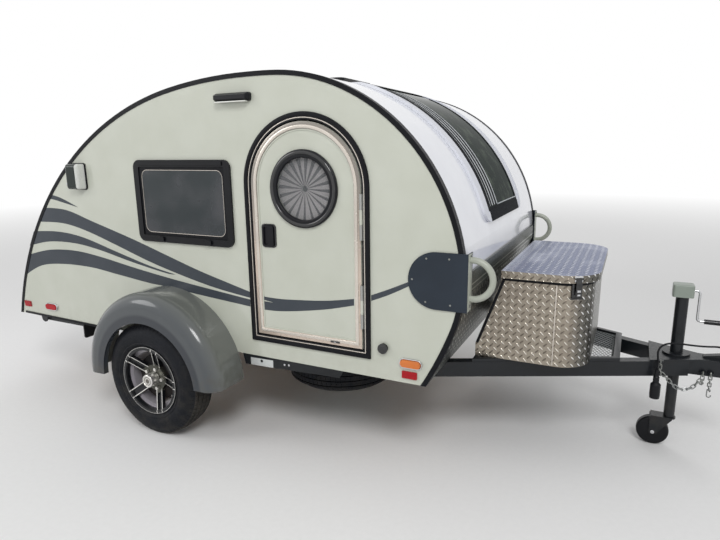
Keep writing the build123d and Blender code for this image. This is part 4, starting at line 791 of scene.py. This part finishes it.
rightCentre = (axleX, -wheelY, tyreR)
rightTyre = treadedTyre("tyre_tread_right", rightCentre)
leftTyre = mirrored(rightTyre, "tyre_tread_left")
spareTyre = copyOf(rightTyre, "tyre_tread_spare")
pick(spareTyre)
bpy.ops.transform.rotate(value=pi / 2, orient_axis="X", center_override=rightCentre)
bpy.ops.transform.translate(value=[spot - start for spot, start in zip(tread["spare"], rightCentre)])
settle(spareTyre)
finishPiece(rightTyre, tyreRubber, "wheel_right", instead=("tyre_right",))
finishPiece(leftTyre, tyreRubber, "wheel_left", instead=("tyre_left",))
finishPiece(spareTyre, tyreRubber, instead=("spare_tyre",))
for tyre in (rightTyre, leftTyre):
    # road dust on the tread only
    tyre.data.materials.append(treadDust)
    for face in tyre.data.polygons:
        dx, dz = face.center[0] - axleX, face.center[2] - tyreR
        face.material_index = int(sqrt(dx * dx + dz * dz) > tread["dustFrom"])
print("tyres made")


# Painted stripes: thin foils on the walls and doors, rows of X and Z

def smoothLine(points, steps=6):
    # a soft line through the points
    line = []
    for i in range(len(points) - 1):
        before = Vector(points[max(i - 1, 0)])
        start, end = Vector(points[i]), Vector(points[i + 1])
        after = Vector(points[min(i + 2, len(points) - 1)])
        for step in range(steps):
            t = step / steps
            squared = (2 * before - 5 * start + 4 * end - after) * t * t
            cubed = (3 * start - before - 3 * end + after) * t ** 3
            line.append(0.5 * (2 * start + (end - before) * t + squared + cubed))
    line.append(Vector(points[-1]))
    return line


stripes = {
    "face": 0.857, "doorFace": 0.858, "thick": 0.0004,
    "wall": (
        {"top": [(-0.905, 1.279), (-0.8325, 1.2686), (-0.7512, 1.2444), (-0.6595, 1.2097)],
         "low": [(-0.925, 1.254), (-0.8661, 1.2487), (-0.7821, 1.2331), (-0.6595, 1.2097)]},
        {"top": [(-0.98, 1.198), (-0.768, 1.19), (-0.547, 1.131), (-0.236, 1.047), (0.004, 0.975),
                 (0.232, 0.907), (0.449, 0.852), (0.562, 0.824)],
         "low": [(-1.047, 1.108), (-0.813, 1.109), (-0.614, 1.074), (-0.375, 1.005), (-0.125, 0.928),
                 (0.112, 0.869), (0.337, 0.823), (0.56, 0.793)]},
        {"top": [(-1.101, 1.045), (-0.87, 1.055), (-0.65, 1.033), (-0.381, 0.966), (-0.128, 0.904),
                 (0.065, 0.87)],
         "low": [(-1.162, 0.949), (-0.96, 0.988), (-0.731, 0.992), (-0.519, 0.966), (-0.255, 0.913),
                 (-0.008, 0.872), (0.065, 0.87)]},
        {"top": [(-1.193, 0.887), (-0.971, 0.935), (-0.739, 0.946), (-0.525, 0.926), (-0.259, 0.884),
                 (-0.011, 0.849), (0.224, 0.821), (0.559, 0.784)],
         "low": [(-1.259, 0.744), (-1.074, 0.826), (-0.863, 0.854), (-0.609, 0.854), (-0.401, 0.832),
                 (-0.141, 0.803), (-0.017, 0.796), (0.219, 0.774), (0.557, 0.747)]},
        {"top": [(1.238, 0.880), (1.33, 0.919), (1.425, 0.963)],
         "low": [(1.238, 0.853), (1.33, 0.893), (1.425, 0.943)]},
    ),
    "door": {"top": [(0.603, 0.812), (0.73, 0.808), (0.858, 0.815), (1.01, 0.829), (1.16, 0.855)],
             "low": [(0.603, 0.741), (0.73, 0.744), (0.858, 0.760), (1.01, 0.787), (1.16, 0.824)]},
}


def stripePiece(name, row, face):
    upper, lower = smoothLine(row["top"]), smoothLine(row["low"])
    points = [at(p[0], -face, p[1]) for p in upper + lower[::-1]]
    if (upper[-1] - lower[-1]).length < 0.0001:
        points.pop(len(upper))
    return slab(name, points, (0, -stripes["thick"], 0))


foils = [stripePiece("foil", row, stripes["face"]) for row in stripes["wall"]]
bothSides(joined(foils, "wall_stripes_right"), foil)
bothSides(stripePiece("door_stripe_right", stripes["door"], stripes["doorFace"]), foil, "door_right")
print("stripes laid")


# Door surround: black bulb seal and silver line on the frame, polished rim on the leaf

doorShape = {"middle": 0.900, "spring": 1.358, "frameFoot": 0.574, "frameHalf": 0.335, "leafFoot": 0.616,
             "leafHalf": 0.293, "face": 0.861}
# outer and inner half width, what it goes round, how far it stands out, edge rounding, finish, body
doorRings = {
    "door_seal": (0.3345, 0.3130, "frame", 0.0070, 0.0032, blackTrim, "trailer"),
    "door_line": (0.3115, 0.3070, "frame", 0.0022, 0.0008, polished, "trailer"),
    "door_rim": (0.2925, 0.2600, "leaf", 0.0024, 0.0010, rimMetal, "door_right"),
    "door_bead": (0.2780, 0.2620, "leaf", 0.0060, 0.0028, polished, "door_right"),
}


def archLine(half, low, side, steps=36):
    # door shape: level foot and half-round head, X and Z at one depth
    middle, spring = axleX + doorShape["middle"], doorShape["spring"]
    angles = [pi * i / steps for i in range(steps + 1)]
    head = [(middle + half * cos(angle), side, spring + half * sin(angle)) for angle in angles]
    return [(middle - half, side, low), (middle + half, side, low)] + head


for name, (outer, inner, part, proud, rounding, material, body) in doorRings.items():
    lines = [archLine(half, doorShape[part + "Foot"] + doorShape[part + "Half"] - half, -doorShape["face"])
             for half in (outer, inner)]
    ring = ringSlab(name + "_right", *lines, (0, -proud, 0))
    bothSides(bevelAll(ring, rounding), material, body)
print("door rings done")


# Porthole shades: pleated cloth fans behind the panes, gathered at the centre

portShade = {"x": 0.900, "z": 1.348, "radius": 0.148, "hub": 0.014, "pleats": 20, "wide": 0.6, "depth": 0.007,
             "side": 0.846}


def pleatAt(place):
    # how far round its pleat a place is, from 0 to 1
    turn = atan2(place.z - portShade["z"], place.x - axleX - portShade["x"])
    return (turn / (2 * pi) * portShade["pleats"]) % 1


clearAll()
bpy.ops.mesh.primitive_circle_add(vertices=5 * portShade["pleats"], radius=portShade["radius"],
                                  fill_type="NOTHING", rotation=(pi / 2, 0, 0),
                                  location=at(portShade["x"], -portShade["side"], portShade["z"]))
shade = settle(newest("porthole_shade_right"))
editAll(shade)
hubShare = portShade["hub"] / portShade["radius"]
bpy.ops.mesh.extrude_edges_move()
bpy.ops.transform.resize(value=(hubShare, 1, hubShare), center_override=at(portShade["x"], 0, portShade["z"]))
bpy.ops.object.mode_set(mode="OBJECT")
for vertex in shade.data.vertices:
    away = sqrt((vertex.co.x - axleX - portShade["x"]) ** 2 + (vertex.co.z - portShade["z"]) ** 2)
    fold = pleatAt(vertex.co)
    # a steep narrow fold beside each wide flat pleat
    rise = fold / portShade["wide"] if fold < portShade["wide"] else (1 - fold) / (1 - portShade["wide"])
    vertex.co.y += portShade["depth"] * rise * away / portShade["radius"]
# painted shadow: the steep fold of each pleat gets the darker cloth
for piece in (shade, bothSides(shade, shadeCloth, "door_right")):
    piece.data.materials.append(paintedFoldShadow)
    for face in piece.data.polygons:
        face.material_index = int(pleatAt(face.center) > portShade["wide"])
print("porthole shades done")


# Porthole rings: rounded glossy bead over the moulded ring

bead = {"radius": 0.166, "section": 0.0075, "crown": 0.35, "side": 0.8725, "points": 12}
angles = [2 * pi * i / bead["points"] for i in range(bead["points"])]
ringPoints = [at(portShade["x"] + bead["radius"] + bead["section"] * cos(angle),
                 bead["crown"] * bead["section"] * sin(angle) - bead["side"], portShade["z"])
              for angle in angles]
portBead = lathe("porthole_bead_right", ringPoints, at(portShade["x"], 0, portShade["z"]), steps=72)
bothSides(portBead, gloss, "door_right")


# Side windows: rubber gasket with rounded corners and a bright line inside it

def roundedLine(x, z, width, height, corner, side, steps=6):
    # rounded rectangle in X and Z at one depth
    line = []
    for k, (sx, sz) in enumerate(((1, 1), (-1, 1), (-1, -1), (1, -1))):
        for i in range(steps + 1):
            turn = pi / 2 * (k + i / steps)
            line.append(at(x + sx * (width / 2 - corner) + corner * cos(turn), side,
                           z + sz * (height / 2 - corner) + corner * sin(turn)))
    return line


sideWindow = {"x": 0.160, "z": 1.264, "width": 0.579, "height": 0.364, "pane": 0.861}
# outer and inner line, each less than the window by this much with this corner; how far it stands out; finish
windowRings = {"window_gasket": ((0.0015, 0.011), (0.0300, 0.038), 0.0026, blackTrim),
               "window_line": ((0.0305, 0.038), (0.0355, 0.035), 0.0016, polished)}
for name, (outer, inner, proud, material) in windowRings.items():
    lines = [roundedLine(sideWindow["x"], sideWindow["z"], sideWindow["width"] - less,
                         sideWindow["height"] - less, corner, -sideWindow["pane"])
             for less, corner in (outer, inner)]
    bothSides(ringSlab(name + "_right", *lines, (0, -proud, 0)), material)


# Nose window: thin ribs on the near side of the pane, with bright lines between them that are painted
# reflections

noseStart = (0.662, 1.880)
noseArcs = ((2.140, 3.3), (0.942, 75.8), (0.684, 31.7), (1.795, 14.0))  # radius, degrees


def noseLine(lift, steps=300):
    # the body's outline from the roof's flat down the nose, moved out by lift
    (x, z), bend = noseStart, 0.0
    line = []
    for radius, turn in noseArcs:
        middle = (x - radius * sin(bend), z - radius * cos(bend))
        count = max(2, round(turn / 90 * steps))
        for i in range(count + 1):
            angle = bend + radians(turn) * i / count
            line.append((middle[0] + (radius + lift) * sin(angle), middle[1] + (radius + lift) * cos(angle)))
        bend += radians(turn)
        x, z = middle[0] + radius * sin(bend), middle[1] + radius * cos(bend)
    return line


# height from and to, Y from and to, thickness; the thin foot line spans a few of noseLine's points
noseRibs = {"lift": 0.0062, "low": 1.236, "high": 1.815,
            "black": ((-margin["half"], -0.2960, 0.0020), (-0.2880, -0.2590, 0.0020),
                      (-0.2420, -0.2110, 0.0020), (-0.1940, -0.1590, 0.0020),
                      (0.3120, margin["half"], 0.0020)),
            "white": ((-0.2960, -0.2880, 0.0018), (-0.2590, -0.2420, 0.0024), (-0.2110, -0.1940, 0.0024),
                      (-0.1590, -0.1430, 0.0024)),
            "blackFoot": (1.192, 1.236, -margin["half"], margin["half"], 0.0026),
            "whiteFoot": (1.2335, 1.2425, -0.140, 0.335, 0.0028)}


def noseStrip(low, high, start, end, thick):
    # a strip over the nose between two heights, from side to side
    lift = noseRibs["lift"]
    picked = [pair for pair in zip(noseLine(lift), noseLine(lift + thick)) if low <= pair[0][1] <= high]
    points = [at(x, start, z) for x, z in [pair[1] for pair in picked] + [pair[0] for pair in picked[::-1]]]
    return slab("strip", points, (0, end - start, 0))


for colour, material in (("black", borderBlack), ("white", paintedReflectionLine)):
    strips = [noseStrip(noseRibs["low"], noseRibs["high"], *row) for row in noseRibs[colour]]
    strips.append(noseStrip(*noseRibs[colour + "Foot"]))
    finishPiece(joined(strips, "nose_window_" + colour + "_lines"), material)
print("windows done")


# Porch lamps: pale lens in the foot of the housing

porch = {"from": (0.440, -0.8935, 1.7465), "to": (0.620, -0.8700, 1.7515), "rounding": 0.002}
bothSides(block("porch_lens_right", at(*porch["from"]), at(*porch["to"]), porch["rounding"]), lens)


# Vent hood: black gasket behind it and a bright scoop at its lower rear

hood = {"x": -0.612, "z": 1.390, "face": 0.857, "gasketX": -0.608, "gasket": (0.112, 0.152, 0.016),
        "gasketThick": 0.005, "gasketRounding": 0.0015, "scoopRounding": 0.003,
        "scoop": ((-0.052, -0.865, -0.066), (-0.052, -0.905, -0.060), (-0.058, -0.911, -0.034),
                  (-0.070, -0.885, -0.045)),
        "scoopRun": (0.040, 0, -0.006)}
gasket = slab("hood_gasket", roundedLine(hood["gasketX"], hood["z"], *hood["gasket"], -hood["face"]),
              (0, -hood["gasketThick"], 0))
finishPiece(bevelAll(gasket, hood["gasketRounding"]), blackTrim)
scoopPoints = [at(hood["x"] + x, y, hood["z"] + z) for x, y, z in hood["scoop"]]
scoop = slab("hood_scoop", scoopPoints, hood["scoopRun"])
finishPiece(bevelAll(scoop, hood["scoopRounding"]), chromeSteel)


# Marker lamps: bright oval bezels round the lamps

bezel = {"amber_bezel": (1.432, 0.584), "red_bezel": (-1.020, 0.562), "outer": (0.110, 0.048, 0.0235),
         "inner": (0.097, 0.035, 0.0170), "face": 0.857, "proud": 0.011, "rounding": 0.004, "steps": 8}
for name in ("amber_bezel", "red_bezel"):
    lines = [roundedLine(*bezel[name], *bezel[line], -bezel["face"], bezel["steps"])
             for line in ("outer", "inner")]
    ring = ringSlab(name + "_right", *lines, (0, -bezel["proud"], 0))
    bothSides(bevelAll(ring, bezel["rounding"]), chromeSteel)


# Power inlet: round cap with a raised rim on the kerb side; radius and Y of its section

inlet = {"x": 1.299, "z": 0.638, "section": ((0, -0.8705), (0, -0.8765), (0.015, -0.8765), (0.019, -0.8745),
                                             (0.024, -0.8745), (0.024, -0.8705))}
cap = lathe("inlet_cap", [at(inlet["x"] + radius, y, inlet["z"]) for radius, y in inlet["section"]],
            at(inlet["x"], 0, inlet["z"]), steps=40)
finishPiece(cap, gloss)
print("lamps and fittings done")


# Tongue box: black seal under the lid, trim on the slanted rear edges, the lapped seam, and two draw latches

boxShape = {"half": 0.450, "seal": (0.9065, 0.9190), "sealOuter": (0.4520, 1.7365, 2.1420, 0.152),
            "sealInner": (0.4480, 1.7400, 2.1380, 0.148), "seam": 1.984,
            "lap": (-0.0030, 0.0020, 0.516, 0.905), "lapProud": (-0.0004, 0.0012), "lapRounding": 0.0005,
            "edgeProud": 0.003, "edgeRounding": 0.001,
            "edge": ((1.6185, 0.5780), (1.7350, 0.9060), (1.7500, 0.9060), (1.6330, 0.5780))}


def boxLine(half, tail, nose, corner, steps=12):
    # D-shaped plan at the seal's foot
    height = boxShape["seal"][0]
    line = [at(tail, -half, height)]
    for first, side in ((-pi / 2, -1), (0, 1)):
        for i in range(steps + 1):
            angle = first + pi / 2 * i / steps
            line.append(at(nose - corner + corner * cos(angle),
                           side * (half - corner) + corner * sin(angle), height))
    line.append(at(tail, half, height))
    return line


sealRing = ringSlab("box_seal", boxLine(*boxShape["sealOuter"]), boxLine(*boxShape["sealInner"]),
                    (0, 0, boxShape["seal"][1] - boxShape["seal"][0]))
finishPiece(smoothBy(sealRing), blackTrim)
for side, name in ((-1, "right"), (1, "left")):
    face = side * boxShape["half"]
    edge = [at(x, face, z) for x, z in boxShape["edge"]]
    trim = slab("box_edge_trim_" + name, edge, (0, side * boxShape["edgeProud"], 0))
    finishPiece(bevelAll(trim, boxShape["edgeRounding"]), blackTrim)
    back, front, foot, head = boxShape["lap"]
    lap = block("box_lap_" + name, at(boxShape["seam"] + back, face + boxShape["lapProud"][0], foot),
                at(boxShape["seam"] + front, face + side * boxShape["lapProud"][1], head),
                boxShape["lapRounding"])
    finishPiece(lap, polished)

latch = {"x": 1.990, "y": -0.300, "turn": 30}
# low and high corner: X from the latch's middle, distance outwards, Z; edge rounding; finish; body
latchRows = (
    ("latch_base", (-0.0245, 0.1475, 0.8495), (0.0245, 0.1615, 0.9185), 0.004, gloss, "trailer"),
    ("latch_foot", (-0.0300, 0.1490, 0.8450), (0.0300, 0.1660, 0.8530), 0.003, gloss, "trailer"),
    ("latch_lever", (-0.0130, 0.1738, 0.8600), (0.0130, 0.1780, 0.9480), 0.0018, gloss, "trailer"),
    ("latch_pivot", (-0.0150, 0.1600, 0.8700), (0.0150, 0.1745, 0.8860), 0.004, gloss, "trailer"),
    ("latch_hook", (-0.0200, 0.1738, 0.9400), (0.0200, 0.1810, 0.9500), 0.003, gloss, "trailer"),
    ("latch_stud_low", (-0.0070, 0.1775, 0.8660), (0.0070, 0.1805, 0.8740), 0.0014, chromeSteel, "trailer"),
    ("latch_stud_high", (-0.0080, 0.1775, 0.8830), (0.0080, 0.1810, 0.8930), 0.0014, chromeSteel, "trailer"),
    ("latch_keeper", (-0.0190, 0.1696, 0.9290), (0.0190, 0.1718, 0.9560), 0.0008, chromeSteel, "box_lid"),
)
for name, low, high, rounding, material, body in latchRows:
    piece = block(name + "_right", at(latch["x"] + low[0], latch["y"] - high[1], low[2]),
                  at(latch["x"] + high[0], latch["y"] - low[1], high[2]), rounding)
    pick(piece)
    # with no window the operator turns the other way
    bpy.ops.transform.rotate(value=-radians(latch["turn"]), orient_axis="Z",
                             center_override=at(latch["x"], latch["y"], 0))
    bothSides(settle(piece), material, body)
print("box trimmed")


# Tray: angle frame, sheet under the box, and expanded mesh in front of it

tray = {"tail": (1.618, 0.5105), "nose": (2.270, 0.2064), "low": 0.495, "high": 0.512, "inset": 0.030,
        "lap": 0.002, "sheet": 0.003, "meshTail": 2.120, "meshHeight": 0.004, "meshLap": 0.003,
        "cell": (0.018, 0.040), "cells": 30, "wire": 0.0042, "rounding": 0.0015}
slope = (tray["tail"][1] - tray["nose"][1]) / (tray["nose"][0] - tray["tail"][0])


def trayLine(inset, tail, nose):
    halves = [tray["tail"][1] - slope * (x - tray["tail"][0]) - inset for x in (tail, nose)]
    return [at(x, y, tray["low"]) for x, y in ((tail, -halves[0]), (nose, -halves[1]), (nose, halves[1]),
                                              (tail, halves[0]))]


trayFrame = ringSlab("tray_frame", trayLine(0, tray["tail"][0], tray["nose"][0]),
                     trayLine(tray["inset"], tray["tail"][0] + tray["inset"], tray["nose"][0] - tray["inset"]),
                     (0, 0, tray["high"] - tray["low"]))
bevelAll(trayFrame, tray["rounding"])
sheetInset = tray["inset"] - tray["lap"]
traySheet = slab("tray_sheet", trayLine(sheetInset, tray["tail"][0] + sheetInset, tray["meshTail"]),
                 (0, 0, tray["sheet"]))
finishPiece(joined([trayFrame, traySheet], "tray_frame"), framePaint, instead=("box_tray",))

clearAll()
bpy.ops.mesh.primitive_grid_add(x_subdivisions=tray["cells"], y_subdivisions=tray["cells"], size=1)
weave = newest("tray_mesh")
meshMiddle = (tray["meshTail"] + tray["nose"][0] - tray["inset"]) / 2
for vertex in weave.data.vertices:
    # the square net stands on its corner, so its cells are long diamonds
    i, j = (round((part + 0.5) * tray["cells"]) for part in vertex.co[:2])
    vertex.co = at(meshMiddle + (i + j - tray["cells"]) * tray["cell"][0] / 2, (i - j) * tray["cell"][1] / 2,
                   tray["low"] + tray["meshHeight"])
edgeX = axleX + tray["nose"][0] - tray["inset"] + tray["meshLap"]
edgeY = tray["nose"][1] - tray["inset"] + tray["meshLap"]
pick(weave)
bpy.ops.object.mode_set(mode="EDIT")
for place, facing in (((edgeX, 0, 0), (1, 0, 0)), (at(tray["meshTail"] - tray["meshLap"], 0, 0), (-1, 0, 0)),
                      ((edgeX, edgeY, 0), (slope, 1, 0)), ((edgeX, -edgeY, 0), (slope, -1, 0))):
    bpy.ops.mesh.select_all(action="SELECT")
    bpy.ops.mesh.bisect(plane_co=place, plane_no=facing, clear_outer=True)
bpy.ops.object.mode_set(mode="OBJECT")
wires = weave.modifiers.new("Wireframe", "WIREFRAME")
wires.thickness = tray["wire"]
bpy.ops.object.modifier_apply(modifier=wires.name)
finishPiece(weave, meshSteel)
print("tray woven")


# Black skirt under the wall, with the blank plate, its bolt and two rivets on it

def studs(name, places, radius, sides, bevel):
    # short rods, each from one place to another, joined; a size below is their radius, sides and edge rounding
    return joined([rod("stud", at(*start), at(*end), radius, sides, bevel) for start, end in places], name)


skirt = {"line": ((0.484, 0.4865), (1.085, 0.4865), (1.060, 0.4440), (0.500, 0.4240)), "face": 0.850,
         "thick": 0.004, "plate": ((0.536, 0.428), (0.676, 0.431), (0.676, 0.471), (0.536, 0.468)),
         "plateThick": 0.0012, "rounding": 0.001, "plateRounding": 0.0005, "boltSize": (0.008, 20, 0.001),
         "rivetSize": (0.006, 16, 0.0012),
         "rivets": ((0.747, 0.460), (0.773, 0.462)), "rivetY": (-0.8495, -0.8530), "bolt": (0.606, 0.458),
         "boltY": (-0.851, -0.8535)}
for side, name in ((-1, "right"), (1, "left")):
    corners = [at(x, side * skirt["face"], z) for x, z in skirt["line"]]
    strip = slab("skirt_" + name, corners, (0, -side * skirt["thick"], 0))
    finishPiece(bevelAll(strip, skirt["rounding"]), framePaint)
corners = [at(x, -skirt["face"], z) for x, z in skirt["plate"]]
blank = slab("blank_plate", corners, (0, -skirt["plateThick"], 0))
finishPiece(bevelAll(blank, skirt["plateRounding"]), plateWhite)
x, z = skirt["bolt"]
finishPiece(studs("plate_key", [[(x, y, z) for y in skirt["boltY"]]], *skirt["boltSize"]), gloss)
rivets = [[(x, y, z) for y in skirt["rivetY"]] for x, z in skirt["rivets"]]
finishPiece(studs("skirt_rivets", rivets, *skirt["rivetSize"]), chromeSteel)


# Corner plates: pan head screws, and the grey backing of the grab handle with its bolts

plates = {"screws": ((1.498, 0.880), (1.608, 0.876), (1.600, 1.074), (1.500, 1.070), (1.436, 0.975)),
          "screwY": (0.8635, 0.8658), "backing": (1.6795, 1.6822, 0.8600, 0.8050, 0.853, 1.098),
          "backingRounding": 0.0008, "bolts": (0.872, 1.091), "boltX": (1.681, 1.687), "boltY": 0.829,
          "screwSize": (0.0045, 14, 0.0010), "boltSize": (0.007, 6, 0.0012)}
for side, name in ((-1, "right"), (1, "left")):
    screws = [[(x, side * y, z) for y in plates["screwY"]] for x, z in plates["screws"]]
    finishPiece(studs("plate_screws_" + name, screws, *plates["screwSize"]), zincSteel)
    x0, x1, y0, y1, z0, z1 = plates["backing"]
    backing = block("grab_backing_" + name, at(x0, side * y0, z0), at(x1, side * y1, z1),
                    plates["backingRounding"])
    finishPiece(backing, greyCoat)
    bolts = [[(x, side * plates["boltY"], z) for x in plates["boltX"]] for z in plates["bolts"]]
    finishPiece(studs("grab_bolts_" + name, bolts, *plates["boltSize"]), zincSteel)


# Caster: bright axle bolt on each side of the fork

bolt = {"x": 2.452, "z": 0.076, "y": (0.0320, 0.0400), "size": (0.010, 20, 0.002)}
heads = [[(bolt["x"], side * y, bolt["z"]) for y in bolt["y"]] for side in (-1, 1)]
finishPiece(studs("caster_bolts", heads, *bolt["size"]), chromeSteel, "caster_fork")


# Door catch: small black hook with a bright tongue at the foot of the leaf

# low and high corner, edge rounding, finish
catches = {"door_catch": ((1.026, -0.8690, 0.6270), (1.078, -0.8602, 0.6390), 0.004, gloss),
           "door_catch_tongue": ((1.046, -0.8705, 0.6310), (1.058, -0.8640, 0.6350), 0.0015, chromeSteel)}
blocks = [block(name + "_right", at(*row[0]), at(*row[1]), row[2]) for name, row in catches.items()]
for piece, row in zip(blocks, catches.values()):
    bothSides(piece, row[3], "door_right")


# Flange round each door handle, and the pale sliver in the door stripe

flange = {"outer": (0.6965, 1.1205, 0.084, 0.116, 0.018), "hole": (0.695, 1.120, 0.0632, 0.1052, 0.0126),
          "face": 0.8575, "proud": 0.0045, "rounding": 0.0012}
lines = [roundedLine(*flange[line], -flange["face"]) for line in ("outer", "hole")]
ring = ringSlab("handle_flange_right", *lines, (0, -flange["proud"], 0))
bothSides(bevelAll(ring, flange["rounding"]), gloss, "door_right")
sliver = {"line": ((0.604, 0.796), (0.640, 0.7935), (0.700, 0.7845), (0.640, 0.7865), (0.604, 0.7890)),
          "face": 0.8584, "thick": 0.0002}
corners = [at(x, -sliver["face"], z) for x, z in sliver["line"]]
bothSides(slab("door_sliver_right", corners, (0, -sliver["thick"], 0)), wallGel, "door_right")


# Dark trim under the wall behind the fenders

sill = {"points": ((-1.300, 0.4890), (-0.470, 0.4760)), "high": 0.014, "face": 0.8575, "thick": 0.004,
        "rounding": 0.001}
for side, name in ((-1, "right"), (1, "left")):
    corners = [at(x, side * sill["face"], z) for x, z in sill["points"]]
    corners += [(x, y, z + sill["high"]) for x, y, z in corners[::-1]]
    trim = slab("sill_trim_" + name, corners, (0, side * sill["thick"], 0))
    finishPiece(bevelAll(trim, sill["rounding"]), blackTrim)
print("small fittings done")
